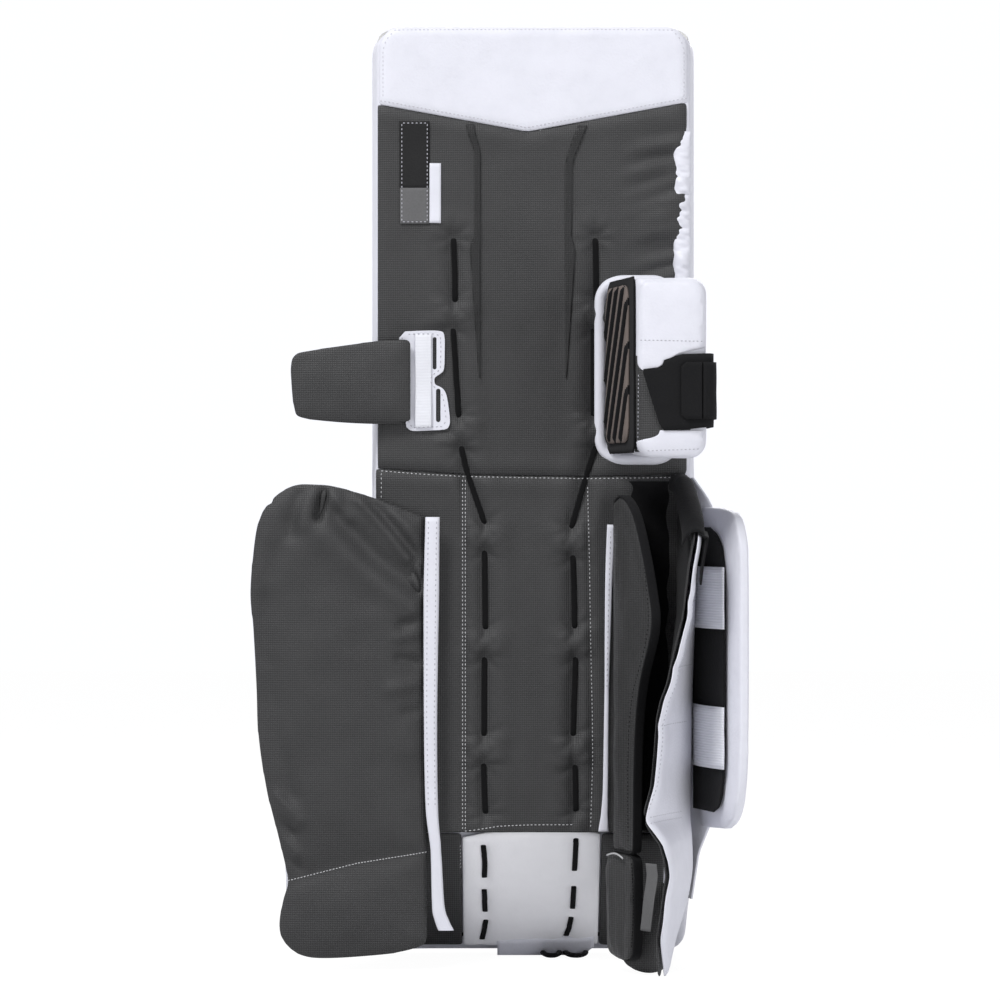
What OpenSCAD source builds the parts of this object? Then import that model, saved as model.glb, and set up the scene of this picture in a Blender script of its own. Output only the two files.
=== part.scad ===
/* [Pad core] */
// Width of the pad across its front face
pad_w = 279; // [250:1:279]
// Width of the leg-side face
back_w = 266; // [240:1:268]
// Thickness of the pad from leg side to front
pad_t = 62; // [55:1:70]
// Height of the knee fold above the floor
knee_z = 422; // [410:1:430]
// Length of the thigh section above the knee fold
thigh_len = 384; // [370:1:400]
// Height of the boot fold above the floor
ankle_z = 117; // [112:1:122]
// How far the boot leans forward from upright, in degrees
boot_lean = 45; // [42:1:48]
// Radius of the long front edges
edge_r = 16; // [10:1:20]
// Radius of the thigh's two top corners
top_r = 20; // [12:1:30]
// Thickness of the leather skin
skin_t = 2; // [1.5:0.1:3]
// Thickness of the lined panel on the leg side
panel_t = 3; // [2:0.5:4]
// Thickness of the plastic stiffener
stiffener_t = 1.6; // [1:0.1:2.5]
// Margin between the stiffener and the panel's edge
stiffener_margin = 14; // [8:1:24]
// Width of the flat under the toe, front to back
toe_land = 12; // [8:1:16]

/* [Flex] */
// How far the knee fold closes in front, in degrees
knee_close = 8; // [4:1:10]
// How far the boot fold closes in front, in degrees
boot_close = 8; // [4:1:10]

/* [Thigh panels and laces] */
// Height of the white cap's point below the pad's top
cap_point = 91; // [80:1:105]
// Height of the white cap's ends below the pad's top
cap_end = 69; // [55:1:76]
// Width of the blank size patch
patch_w = 25; // [18:1:32]
// Height of the blank size patch
patch_h = 87; // [70:1:100]
// Width of a lace
lace_w = 4.5; // [3:0.5:6]
// Thickness of a lace
lace_t = 1.8; // [1:0.2:3]
// Distance of the outer lace column from the pad's middle
lace_out = 68; // [60:1:74]
// Distance of the inner lace column from the pad's middle
lace_in = 50; // [46:1:51]
// Distance of the lace columns from the middle below the knee
lace_low = 41; // [36:1:45]

/* [Knee block] */
// Depth of the knee block from the leg-side face
block_d = 130; // [110:1:140]
// Width of the block's near face
block_w = 59; // [50:1:64]
// Height of the block's near face
block_h = 150; // [130:1:160]
// Width of the stitched base flange
flange_w = 72; // [66:1:78]
// Height of the stitched base flange
flange_h = 160; // [150:1:162]
// Thickness of the base flange
flange_t = 6; // [4:0.5:9]
// Height of the block's middle above the knee fold
block_up = 90; // [84:1:95]
// Thickness of the ribbed grip pad
grip_t = 3; // [2:0.5:5]
// Number of ribs on the grip pad
grip_ribs = 5; // [3:1:7]
// Width of the hook-and-loop strap
strap_w = 60; // [45:1:66]
// Thickness of a strap
strap_t = 2.2; // [1.5:0.1:3]

/* [Knee wing] */
// Reach of the knee wing from its fold
knee_wing_l = 104; // [85:1:112]
// Height of the knee wing
knee_wing_h = 76; // [60:1:84]
// Thickness of the knee wing
knee_wing_t = 12; // [8:1:16]
// Thickness of the stitched base plate under the wing
plate_t = 2.4; // [1.6:0.2:4]
// Height of the stitched base plate
plate_h = 85; // [80:1:92]

/* [Calf wraps] */
// Reach of the outer calf wrap from its fold
outer_l = 148; // [130:1:156]
// Height of the outer calf wrap's top above the floor
outer_top = 412; // [395:1:416]
// Thickness of the outer calf wrap's padding
outer_t = 12; // [8:1:16]
// Thickness of a wrap's leather shell
shell_t = 2; // [1.5:0.1:3]
// Width of the white binding strip
binding_w = 12; // [9:0.5:15]
// Reach of the inner calf wrap from the leg-side face
inner_l = 106; // [92:1:112]
// Height of the inner calf wrap's top above the floor
inner_top = 372; // [350:1:380]
// Thickness of the inner calf wrap
inner_t = 13; // [10:0.5:14]
// Outward lean of the inner calf wrap at its top, in degrees
inner_lean_top = 5; // [2:1:6]
// Inward lean of the inner calf wrap at its foot, in degrees
inner_lean_foot = 9; // [5:1:11]
// Reach of the channel wing at its widest
wing_l = 92; // [80:1:96]
// Thickness of the channel wing
wing_t = 16; // [12:1:18]
// Outward lean of the channel wing, in degrees
wing_lean = 16; // [13:1:18]

/* [Calf block] */
// Depth of the calf landing block
calf_d = 98; // [85:1:104]
// Height of the calf landing block's top above the floor
calf_top = 395; // [380:1:402]
// Height of the calf landing block's foot above the floor
calf_foot = 122; // [118:1:130]
// Thickness of the calf landing block
calf_t = 18; // [14:1:21]
// Outward lean of the calf landing block, in degrees
calf_lean = 15; // [13:1:19]
// Width of the elastic calf straps
elastic_w = 52; // [40:1:56]
// Thickness of the block's black lining
lining_t = 1.6; // [1:0.2:2]

/* [Toe] */
// Width of the toe tab
toe_tab_w = 84; // [70:1:96]
// Height of the toe tab
toe_tab_h = 20; // [14:1:24]
// Thickness of the toe tab
toe_tab_t = 4; // [3:0.5:5]
// Diameter of the toe cords
toe_cord_d = 5; // [4:0.5:6]

/* [Hidden] */
// Clearance between neighbouring pieces that don't touch
gap = 0.3;
// Overlap of a cutter past the face that it cuts
cut = 1;
arc = 48;
soft_arc = 20;

// The pad stands with its leg side on y = 0 and its front towards +Y
pad_top = knee_z + thigh_len;
core_y = panel_t + stiffener_t;
boot_floor = ankle_z / cos(boot_lean);
boot_len = boot_floor + toe_land * sin(boot_lean);
toe_rest_y = ankle_z * tan(boot_lean) + toe_land / 2;
toe_roll_h = 26;
toe_r = 34;
// Fold faces, measured from the leg side, in degrees above level
boot_mitre = boot_lean / 2;
reach = pad_w;

// Leg-side layout
cap_z = pad_top - cap_point;
patch_x = -back_w / 2 + 19;
patch_z = cap_z + 9;
side_roll_w = 19;
side_roll_t = 5;
seam_x = [-60, 50];
boot_seam_x = [-60, 57];

// Knee block
rib_rise = 2.2;
rib_share = 0.34;
block_x = back_w / 2 - flange_w / 2 - 8;
block_z = knee_z + block_up;
block_face_x = block_x + flange_w / 3;
block_lean = atan((block_face_x - block_x + (flange_w - block_w) / 2) / (block_d - flange_t));
strap_z = block_z - 0.347 * block_h;

// Knee wing
plate_x = 17 - back_w / 2;
knee_wing_x = plate_x + 12;
knee_wing_y = -plate_t - gap - knee_wing_t;
// Height of the wing's middle
knee_wing_z = knee_z + 81;
plate_w = 45;
plate_z = knee_z + 37;
webbing_w = 14;
webbing_t = 1.6;

// Outer wrap: its fold stands left of the binding strip
binding_x = 39 - back_w / 2;
binding_t = 2.5;
outer_x = binding_x - gap * 4;
outer_pad_y = -shell_t - 2 * gap;
outer_fold_y = outer_pad_y - outer_t;
outer_seam = 0.2;

// Inner wrap, channel wing and calf block
inner_x = back_w / 2 - 9;
inner_foot = 0;
// What the wrap's twist adds between straight and twisted faces
twist_gap = 0.8;
shell_lap = 0.5;
band_h = 5;
inner_peak = knee_z - 12;
top_reach = 20;
inner_seam_z = 136;
inner_y = -inner_t / 2 - gap;
wing_x = 73;
wing_y = -wing_t / 2 - gap;
wing_top = knee_z - 18;
wing_seam_z = 102;
calf_x = back_w / 2 + 13;
calf_y = -3;
liner_t = 1.2;

/* ---------- shared shapes ---------- */

// Every piece gets its colour, and the origin moves to the middle of the toe's flat
module piece(tone) {
    color(tone) translate([0, -toe_rest_y, 0]) children();
}

// A drawing in X and Z becomes a sheet from y0 towards the pad's front
module upright(y0, t) {
    translate([0, y0 + t, 0]) rotate([90, 0, 0]) linear_extrude(t) children();
}

// A rectangle with round corners, made of exact arcs
module soft_rect(x0, x1, z0, z1, r) {
    translate([x0 + r, z0]) square([x1 - x0 - 2 * r, z1 - z0]);
    translate([x0, z0 + r]) square([x1 - x0, z1 - z0 - 2 * r]);
    for (x = [x0 + r, x1 - r], z = [z0 + r, z1 - r])
        translate([x, z]) circle(r, $fn = arc);
}

// An outline drawn smoothly through its points, from the first to the last
function spline(a, b, c, d, t) =
    0.5 * (2 * b + (c - a) * t + (2 * a - 5 * b + 4 * c - d) * t * t
    + (3 * b - a - 3 * c + d) * t * t * t);
function curve(p, steps) = concat([
    for (i = [0 : len(p) - 2], s = [0 : steps - 1])
        spline(p[max(i - 1, 0)], p[i], p[i + 1], p[min(i + 2, len(p) - 1)], s / steps)
], [p[len(p) - 1]]);

// The pad's section across its length: wider in front, with round front edges
module section(inset) {
    half_b = back_w / 2 - inset;
    half_f = pad_w / 2 - inset;
    front = pad_t - inset;
    r = edge_r - inset;
    polygon([
        [-half_b, 0], [half_b, 0], [half_f, front - r], [half_f - r, front],
        [r - half_f, front], [-half_f, front - r]
    ]);
    for (s = [-1, 1])
        translate([s * (half_f - r), front - r]) circle(r, $fn = arc);
    // An inner section reaches past the leg side, so that it cuts a skin open there
    if (inset > 0) translate([-half_b, -cut]) square([2 * half_b, 2 * cut]);
}

// The half-space above a plane that rises from the leg side at a given angle
module above(z, deg) {
    translate([-reach, 0, z]) rotate([deg, 0, 0])
        translate([0, -reach, 0]) cube([2 * reach, 3 * reach, 3 * reach]);
}

// Everything in front of the panel and stiffener
module in_front_of(y) {
    translate([-reach, y, -reach]) cube([2 * reach, reach, 2 * reach + pad_top]);
}

/* ---------- thigh ---------- */

module thigh_form(inset) {
    intersection() {
        translate([0, 0, knee_z]) linear_extrude(thigh_len - inset) section(inset);
        upright(-cut, pad_t + 2 * cut)
            soft_rect(inset - pad_w / 2, pad_w / 2 - inset, 0, pad_top - inset, top_r);
        above(knee_z, knee_close / 2);
    }
}

module thigh_core() {
    piece("gainsboro") intersection() {
        thigh_form(skin_t);
        in_front_of(core_y);
    }
}

module thigh_stiffener() {
    half = back_w / 2 - stiffener_margin;
    piece("dimgray") upright(panel_t, stiffener_t)
        soft_rect(-half, half, knee_z + stiffener_margin, pad_top - stiffener_margin, top_r);
}

module thigh_front_skin() {
    piece("whitesmoke") difference() {
        thigh_form(0);
        intersection() {
            translate([0, 0, knee_z - cut]) linear_extrude(thigh_len + cut - skin_t) section(skin_t);
            upright(-cut, pad_t + 2 * cut)
                soft_rect(skin_t - pad_w / 2, pad_w / 2 - skin_t, 0, pad_top - skin_t, top_r);
        }
    }
}

// The V-shaped edge between the grey panel and the white cap
module below_cap(shift) {
    far = pad_w;
    drop = (cap_point - cap_end) / (back_w / 2);
    polygon([
        [-far, 0], [far, 0], [far, cap_z + drop * far - shift],
        [0, cap_z - shift], [-far, cap_z + drop * far - shift]
    ]);
}

module thigh_panel_outline() {
    half = back_w / 2 - skin_t - gap;
    soft_rect(-half, half, knee_z + gap, pad_top - skin_t - gap, top_r - skin_t);
}

module thigh_back_panel() {
    piece("dimgray") upright(0, panel_t) intersection() {
        thigh_panel_outline();
        below_cap(gap / 2);
    }
}

module thigh_cap_panel() {
    piece("white") upright(0, panel_t) difference() {
        thigh_panel_outline();
        below_cap(-gap / 2);
    }
}

// White leather bunched along the panel's edge behind the block
module thigh_side_roll() {
    right = back_w / 2;
    piece("white") upright(-side_roll_t, side_roll_t)
        soft_rect(right - side_roll_w, right, block_z + flange_h / 2 + gap, cap_z - gap, 6);
}

// A flat lace lying on the leg side from one point to another
module lace(a, b) {
    run = b - a;
    translate([a[0], 0, a[1]]) rotate([0, -atan2(run[1], run[0]), 0])
        upright(-lace_t, lace_t)
            soft_rect(0, norm(run), -lace_w / 2, lace_w / 2, lace_w / 2 - 0.05);
}

module lace_column(x, z_list) {
    for (i = [0 : 2 : len(z_list) - 2])
        lace([x, z_list[i + 1]], [x, z_list[i]]);
}

// Where the laces go under the cloth, as shares of the thigh's length below its top
thigh_holes = [0.471, 0.614, 0.672, 0.872];
// The same below the knee fold, as shares of the shin's length
shin_holes = [0.215, 0.433, 0.508, 0.728, 0.81, 0.948];
module thigh_laces() {
    piece("black") {
        for (x = [-lace_out, lace_in])
            lace_column(x, [for (share = thigh_holes) pad_top - share * thigh_len]);
        crossing_z = pad_top - 0.927 * thigh_len;
        lace([-lace_out + 6, crossing_z], [-lace_out + 14, knee_z + 2]);
        lace([lace_in, crossing_z], [lace_in - 7, knee_z + 2]);
    }
}

module size_patch() {
    piece("gray") upright(-1, 1) {
        soft_rect(patch_x, patch_x + patch_w, patch_z - patch_h, patch_z, 1.5);
        soft_rect(patch_x + patch_w + gap, patch_x + patch_w + 10, patch_z - patch_h, patch_z - 36, 1);
    }
}

/* ---------- knee block ---------- */

// A thin slab of the block: [middle in x, width, height] at a distance from the leg side
module block_slab(x, y, w, h, r) {
    upright(y, 0.5) translate([x, block_z]) hull()
        for (sx = [-1, 1], sz = [-1, 1])
            translate([sx * (w / 2 - r), sz * (h / 2 - r)]) circle(r, $fn = soft_arc);
}

module knee_block_flange() {
    half_w = flange_w / 2;
    half_h = flange_h / 2;
    piece("white") upright(-flange_t, flange_t)
        soft_rect(block_x - half_w, block_x + half_w, block_z - half_h, block_z + half_h, 22);
}

module knee_block_body() {
    piece("dimgray") {
        hull() {
            block_slab(block_x, -flange_t - 0.5, flange_w - 6, flange_h - 6, 20);
            block_slab(block_face_x, 6 - block_d, block_w, block_h, 12);
            block_slab(block_face_x, -block_d, block_w - 8, block_h - 8, 8);
        }
    }
}

// The block's two sides lean; this frame runs from the flange along one of them
module along_block(side) {
    from = block_x + side * (flange_w / 2 - 3);
    to = block_face_x + side * block_w / 2;
    lean = atan((to - from) / (block_d - 6 - flange_t));
    translate([from, -flange_t, 0]) rotate([0, 0, lean]) children();
}

// Ribbed grip pad on the block's inner side
module knee_grip_pad() {
    len = block_d - flange_t - 14;
    high = flange_h - 26;
    pitch = high / grip_ribs;
    piece("gray") along_block(-1) {
        translate([-gap, -len, block_z - high / 2]) rotate([0, -90, 0]) linear_extrude(grip_t)
            soft_rect(0, high, 0, len - 4, 10);
        for (i = [0 : grip_ribs - 1])
            translate([-gap - grip_t, -len / 2 - 2, block_z - high / 2 + pitch * (i + 0.5)])
                rotate([12, 0, 0]) rotate([0, 90, 0])
                    scale([1, 1, rib_rise / (pitch * rib_share)]) rotate([90, 0, 0])
                        cylinder(h = len - 22, r = pitch * rib_share, center = true, $fn = arc);
    }
}

module face_panel(z_low, z_high) {
    half = block_w / 2 - 5;
    upright(-block_d - 1.5, 1.5)
        soft_rect(block_face_x - half, block_face_x + half, z_low, z_high, 6);
}

module knee_face_panel_upper() {
    piece("white") face_panel(strap_z + strap_w + gap * 2, block_z + block_h / 2 - 5);
}

module knee_face_panel_lower() {
    piece("white") face_panel(block_z - block_h / 2 + 5, strap_z - gap * 2);
}

// Black strap over the near face and back along the outer side
module knee_strap() {
    left = block_face_x - block_w / 2 + 4;
    right = block_face_x + block_w / 2 - 4;
    piece("black") {
        upright(-block_d - strap_t, strap_t) soft_rect(left, right, strap_z, strap_z + strap_w, 3);
        along_block(1)
            translate([gap, 8 - block_d + flange_t, strap_z])
                cube([strap_t, block_d - flange_t - 20, strap_w]);
    }
}

// Loose end of the strap, held on the near face and peeled from its left edge
strap_tab_x = block_face_x + block_w / 2 - 5;
module knee_strap_tab() {
    piece("black") upright(-block_d - 2 * strap_t - gap, strap_t)
        soft_rect(strap_tab_x - 20, strap_tab_x, strap_z + 6, strap_z + strap_w - 6, 3);
}

/* ---------- knee wing ---------- */

module knee_wing_plate() {
    piece("white") upright(-plate_t, plate_t) difference() {
        soft_rect(plate_x, plate_x + plate_w, plate_z, plate_z + plate_h, 7);
        translate([plate_x + plate_w + 2, plate_z + plate_h / 2]) circle(9, $fn = arc);
    }
}

module knee_wing_webbing() {
    x0 = knee_wing_x + gap * 4;
    piece("white") upright(-plate_t - webbing_t, webbing_t)
        soft_rect(x0, x0 + webbing_w, plate_z + 3, plate_z + plate_h - 3, 1);
}

module knee_wing_pad() {
    high = knee_wing_h;
    l = knee_wing_l;
    piece("dimgray") upright(knee_wing_y, knee_wing_t)
        translate([knee_wing_x - l, knee_wing_z])
            polygon(curve([
                [l, high * 0.42], [l - 8, high * 0.46], [l * 0.6, high * 0.44], [8, high * 0.34],
                [1, high * 0.26], [0, -high * 0.18], [5, -high * 0.44], [12, -high * 0.5],
                [l * 0.4, -high * 0.46], [l - 8, -high * 0.44], [l, -high * 0.4]
            ], 3));
}

/* ---------- shin ---------- */

module shin_form(inset) {
    difference() {
        intersection() {
            translate([0, 0, ankle_z]) linear_extrude(knee_z - ankle_z) section(inset);
            above(ankle_z, boot_mitre + boot_close / 2);
        }
        above(knee_z, -knee_close / 2);
    }
}

module shin_core() {
    piece("gainsboro") intersection() {
        shin_form(skin_t);
        in_front_of(core_y);
    }
}

module shin_stiffener() {
    half = back_w / 2 - stiffener_margin;
    piece("dimgray") upright(panel_t, stiffener_t)
        soft_rect(-half, half, ankle_z + stiffener_margin, knee_z - stiffener_margin, 12);
}

module shin_front_skin() {
    piece("whitesmoke") difference() {
        shin_form(0);
        translate([0, 0, ankle_z - cut]) linear_extrude(knee_z - ankle_z + 2 * cut) section(skin_t);
    }
}

module shin_back_panel() {
    half = back_w / 2 - skin_t - gap;
    piece("dimgray") upright(0, panel_t)
        translate([-half, ankle_z + panel_t]) square([2 * half, knee_z - ankle_z - panel_t - gap]);
}

module shin_laces() {
    piece("black") {
        shin_len = knee_z - ankle_z;
        crossing_z = knee_z - 0.144 * shin_len;
        lace([-lace_out + 17, knee_z - 2], [-lace_low, crossing_z]);
        lace([lace_in - 9, knee_z - 2], [lace_low - 9, crossing_z]);
        for (x = [-lace_low, lace_low - 6])
            lace_column(x, [for (share = shin_holes) knee_z - share * shin_len]);
    }
}

// Dark cloth floor between the channel wing and the inner wrap
module channel_liner() {
    x0 = wing_x + wing_t / 2 + 2;
    x1 = inner_x - inner_t / 2 - 2;
    piece("black") upright(-liner_t, liner_t)
        soft_rect(x0, x1, ankle_z + 8, knee_z - 6, 3);
}

module wing_binding() {
    x1 = wing_x - wing_t / 2 - 1;
    piece("white") upright(-binding_t, binding_t)
        polygon([[x1 - 7, wing_top - 10], [x1, wing_top - 4], [x1, wing_top - 160], [x1 - 2, wing_top - 160]]);
}

module outer_wrap_binding() {
    piece("white") upright(-binding_t, binding_t)
        soft_rect(binding_x, binding_x + binding_w, ankle_z - 85, outer_top - 25, 2);
}

/* ---------- calf landing block ---------- */

// The block's own frame: it reaches along -Y and leans outward
module calf_frame() {
    translate([calf_x, calf_y, 0]) rotate([0, 0, calf_lean]) children();
}

// A sheet standing on edge: its drawing is reach and height, its thickness runs along X
module on_edge(x0, t) {
    translate([x0 + t, 0, 0]) rotate([0, 0, -90]) rotate([90, 0, 0]) linear_extrude(t) children();
}

// D-shaped outline; inset moves the rim in and leaves the base edge alone
module calf_outline(inset) {
    d = calf_d - inset;
    low = calf_foot + inset;
    high = calf_top - inset;
    polygon(concat([[0, high]], curve([
        [d * 0.5, high - 1], [d * 0.8, high - 6], [d * 0.95, high - 24], [d, high - 55],
        [d, low + 90], [d * 0.95, low + 40], [d * 0.82, low + 14], [d * 0.6, low + 3]
    ], 3), [[0, low]]));
}

module calf_block_body() {
    piece("white") calf_frame() on_edge(-calf_t / 2, calf_t) calf_outline(0);
}

module calf_block_lining() {
    piece("black") calf_frame()
        on_edge(-calf_t / 2 - lining_t, lining_t) calf_outline(16);
}

module calf_strap(z) {
    piece("white") calf_frame()
        on_edge(-calf_t / 2 - lining_t - strap_t, strap_t)
            soft_rect(4, calf_d - 17, z, z + elastic_w, 2);
}

module calf_strap_upper() {
    calf_strap(calf_top - 102);
}

module calf_strap_lower() {
    calf_strap(calf_foot + 54);
}

// Leather gusset that seats the block's base on the pad's side wall
module calf_block_gusset() {
    half_b = back_w / 2 + gap / 2;
    slope = (pad_w - back_w) / 2 / (pad_t - edge_r);
    deep = 18;
    half_t = calf_t / 2;
    piece("white") translate([0, 0, calf_foot]) linear_extrude(calf_top - calf_foot)
        polygon([
            [half_b, 0], [calf_x - half_t * cos(calf_lean), calf_y - half_t * sin(calf_lean)],
            [calf_x + half_t * cos(calf_lean), calf_y + half_t * sin(calf_lean)],
            [half_b + slope * deep, deep]
        ]);
}

/* ---------- outer calf wrap, opened flat ---------- */

// Outline from the fold's top round to its foot, as shares of the wrap's reach and height
function outer_outline() = [
    for (p = curve([
        [0, 0.935], [0.27, 0.975], [0.51, 0.995], [0.72, 1], [0.865, 0.97], [0.953, 0.915],
        [0.993, 0.77], [0.98, 0.7], [0.96, 0.5], [0.905, 0.357], [0.858, 0.29], [0.818, 0.24],
        [0.777, 0.163], [0.804, 0.128], [0.83, 0.062], [0.747, 0.015], [0.69, 0]
    ], 3)) [outer_x - p[0] * outer_l, p[1] * outer_top]
];

module outer_shape() {
    polygon(concat(outer_outline(), [[outer_x - 0.3 * outer_l, 0], [outer_x, 0.03 * outer_top]]));
}

// Everything below the slanting seam across the wrap's foot
module below_outer_seam(shift) {
    z0 = 0.233 * outer_top + shift;
    polygon([
        [outer_x + cut, -cut], [outer_x + cut, z0],
        [outer_x - outer_l - cut, z0 - 0.09 * outer_top], [outer_x - outer_l - cut, -cut]
    ]);
}

module outer_wrap_pad() {
    piece("dimgray") upright(outer_fold_y, outer_t) difference() {
        outer_shape();
        below_outer_seam(gap);
    }
}

module outer_wrap_ankle_pad() {
    piece("dimgray") upright(outer_fold_y, outer_t) intersection() {
        outer_shape();
        below_outer_seam(-gap);
    }
}

module outer_wrap_shell() {
    piece("whitesmoke") upright(-gap - shell_t, shell_t) outer_shape();
}

/* ---------- channel wing ---------- */

module wing_frame() {
    translate([wing_x, wing_y, 0]) rotate([0, 0, wing_lean]) children();
}

// Round foot of the wing, seated just clear of the leg side
module wing_foot(z0, z1) {
    translate([0, 0, z0]) cylinder(h = z1 - z0, r = wing_t / 2, $fn = arc);
}

module channel_wing_pad() {
    l = wing_l;
    piece("dimgray") wing_frame() {
        wing_foot(wing_seam_z, wing_top - 6);
        on_edge(-wing_t / 2, wing_t) polygon(concat([[0, wing_top - 6]], curve([
            [l * 0.22, wing_top], [l * 0.52, wing_top - 16], [l * 0.78, wing_top - 52],
            [l * 0.95, wing_top - 86], [l, wing_top - 101], [l * 0.94, wing_top - 118],
            [l * 0.7, wing_top - 152], [l * 0.58, wing_top - 190], [l * 0.54, wing_seam_z + 60],
            [l * 0.52, wing_seam_z + 12], [l * 0.48, wing_seam_z + 2]
        ], 3), [[0, wing_seam_z]]));
    }
}

module ankle_wing_pad() {
    l = wing_l * 0.5;
    top = wing_seam_z - 2 * gap;
    piece("dimgray") wing_frame() on_edge(-wing_t / 2, wing_t)
        polygon(concat([[0, top]], curve([
            [l * 0.9, top], [l, top - 14], [l, top - 40], [l * 0.98, 26], [l * 0.86, 14], [l * 0.5, 12]
        ], 3), [[0, 16]]));
}

/* ---------- inner calf wrap ---------- */

// One level of the wrap: a round-ended strip from the fold to the near edge
module wrap_level(z, reach_y, lean, h) {
    r = inner_t / 2;
    translate([inner_x, inner_y, z]) rotate([0, 0, lean]) linear_extrude(h) {
        circle(r, $fn = soft_arc);
        translate([0, -reach_y + r]) circle(r, $fn = soft_arc);
        translate([-r, -reach_y + r]) square([inner_t, reach_y - r]);
    }
}

// The same level of the leather shell on the wrap's outer side
module shell_level(z, reach_y, lean) {
    translate([inner_x, inner_y, z]) rotate([0, 0, lean]) linear_extrude(0.5)
        translate([inner_t / 2 - shell_lap, -reach_y + inner_t / 2])
            square([shell_t + shell_lap + twist_gap, reach_y - inner_t / 2]);
}

// Height, reach and lean of the wrap's levels from its shoulder to its seam
wrap_levels = [
    [inner_peak, top_reach, inner_lean_top + 1],
    [inner_top, inner_l, inner_lean_top],
    [inner_top - 87, inner_l, inner_lean_top - 3],
    [inner_top - 149, inner_l, -inner_lean_foot / 2],
    [inner_seam_z, inner_l - 1, -inner_lean_foot]
];

module wrap_form() {
    for (i = [0 : len(wrap_levels) - 2]) {
        a = wrap_levels[i];
        b = wrap_levels[i + 1];
        hull() {
            wrap_level(a[0], a[1], a[2], 0.5);
            wrap_level(b[0], b[1], b[2], 0.5);
        }
    }
}

module inner_wrap_pad() {
    piece("dimgray") wrap_form();
}

// The shell's inner side is cut by the pad itself, because both are twisted
module inner_wrap_shell() {
    piece("white") difference() {
        for (i = [0 : len(wrap_levels) - 2]) {
            a = wrap_levels[i];
            b = wrap_levels[i + 1];
            hull() {
                shell_level(a[0], a[1], a[2]);
                shell_level(b[0], b[1], b[2]);
            }
        }
        wrap_form();
    }
}

module inner_wrap_ankle_pad() {
    levels = [
        [inner_seam_z - 1.2, inner_l - 2, -inner_lean_foot + 1],
        [inner_seam_z - 40, inner_l - 8, -inner_lean_foot + 6],
        [inner_seam_z - 96, inner_l - 14, -inner_lean_foot + 3],
        [inner_foot, inner_l - 36, -inner_lean_foot - 3]
    ];
    piece("dimgray") for (i = [0 : len(levels) - 2]) {
        a = levels[i];
        b = levels[i + 1];
        hull() {
            wrap_level(a[0], a[1], a[2], 0.5);
            wrap_level(b[0], b[1], b[2], 0.5);
        }
    }
}

// Black edging that runs down the wrap's sloping top
module inner_wrap_band() {
    low = 0.5 + gap;
    end = inner_l;
    piece("black") translate([inner_x, inner_y, 0]) rotate([0, 0, inner_lean_top])
        on_edge(-inner_t / 2, inner_t) polygon([
            [0, inner_peak + low], [top_reach, inner_peak + low], [end, inner_top + low],
            [end, inner_top + low + band_h],
            [top_reach, inner_peak + low + band_h], [0, inner_peak + low + band_h]
        ]);
}

// Blank care tag sewn by its edge to the wrap's inner side, which the twist moves out
tag_w = 13;
tag_seat = 1.2;
module care_tag() {
    piece("whitesmoke") translate([inner_x, inner_y, 0]) rotate([0, 0, -inner_lean_foot + 3])
        translate([tag_seat - inner_t / 2 - tag_w, 15 - inner_l, inner_seam_z - 95])
            cube([tag_w, 0.8, 57]);
}

/* ---------- boot ---------- */

// The boot's own frame: its length runs along -Z and its thickness along +Y
module boot_frame() {
    translate([0, 0, ankle_z]) rotate([boot_lean, 0, 0]) children();
}

module boot_outline(inset) {
    soft_rect(inset - pad_w / 2, pad_w / 2 - inset, inset - boot_len, reach, toe_r);
}

// The boot's solid form between its fold, a distance along its length and the floor
module boot_form(inset, from, to) {
    difference() {
        boot_frame() intersection() {
            translate([0, 0, -to]) linear_extrude(to - from) section(inset);
            upright(-cut, pad_t + 2 * cut) boot_outline(inset);
        }
        above(ankle_z, boot_mitre - boot_close / 2);
        translate([-reach, -cut, -reach]) cube([2 * reach, reach, reach]);
    }
}
roll_start = boot_len - toe_roll_h;

module boot_core() {
    piece("gainsboro") intersection() {
        boot_form(skin_t, -pad_t, roll_start - gap);
        boot_frame() in_front_of(core_y);
    }
}

module boot_stiffener() {
    half = back_w / 2 - stiffener_margin;
    piece("dimgray") boot_frame() upright(panel_t, stiffener_t)
        soft_rect(-half, half, -roll_start + 4, -stiffener_margin, 12);
}

module boot_front_skin() {
    piece("whitesmoke") difference() {
        boot_form(0, -pad_t, roll_start - gap);
        boot_frame() translate([0, 0, -boot_len]) linear_extrude(boot_len + pad_t) section(skin_t);
    }
}

module boot_panel(x0, x1) {
    low = -roll_start + gap;
    translate([x0, low]) square([x1 - x0, -low - panel_t]);
}

module boot_back_panel() {
    piece("white") boot_frame() upright(0, panel_t)
        boot_panel(boot_seam_x[0] + gap / 2, boot_seam_x[1] - gap / 2);
}

module boot_side_panels() {
    half = back_w / 2 - skin_t - gap;
    piece("dimgray") boot_frame() upright(0, panel_t) {
        boot_panel(-half, boot_seam_x[0] - gap / 2);
        boot_panel(boot_seam_x[1] + gap / 2, half);
    }
}

module boot_laces() {
    piece("black") boot_frame() {
        lace_column(-lace_low - 2, [-17, -61, -77, -107]);
        lace([-lace_low - 4, -134], [-lace_low - 2, -118]);
        lace_column(lace_low - 5, [-14, -60, -77, -107]);
        lace([lace_low - 10, -134], [lace_low - 6, -118]);
    }
}

// Padded roll that closes the boot's end; its flat is what the pad stands on
module toe_roll() {
    piece("whitesmoke") boot_form(0, roll_start, boot_len);
}

toe_tab_x = 12;
module toe_tab() {
    low = 8 - boot_floor;
    half = toe_tab_w / 2;
    piece("white") boot_frame() upright(-toe_tab_t, toe_tab_t)
        soft_rect(toe_tab_x - half, toe_tab_x + half, low, low + toe_tab_h, 5);
}

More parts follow.
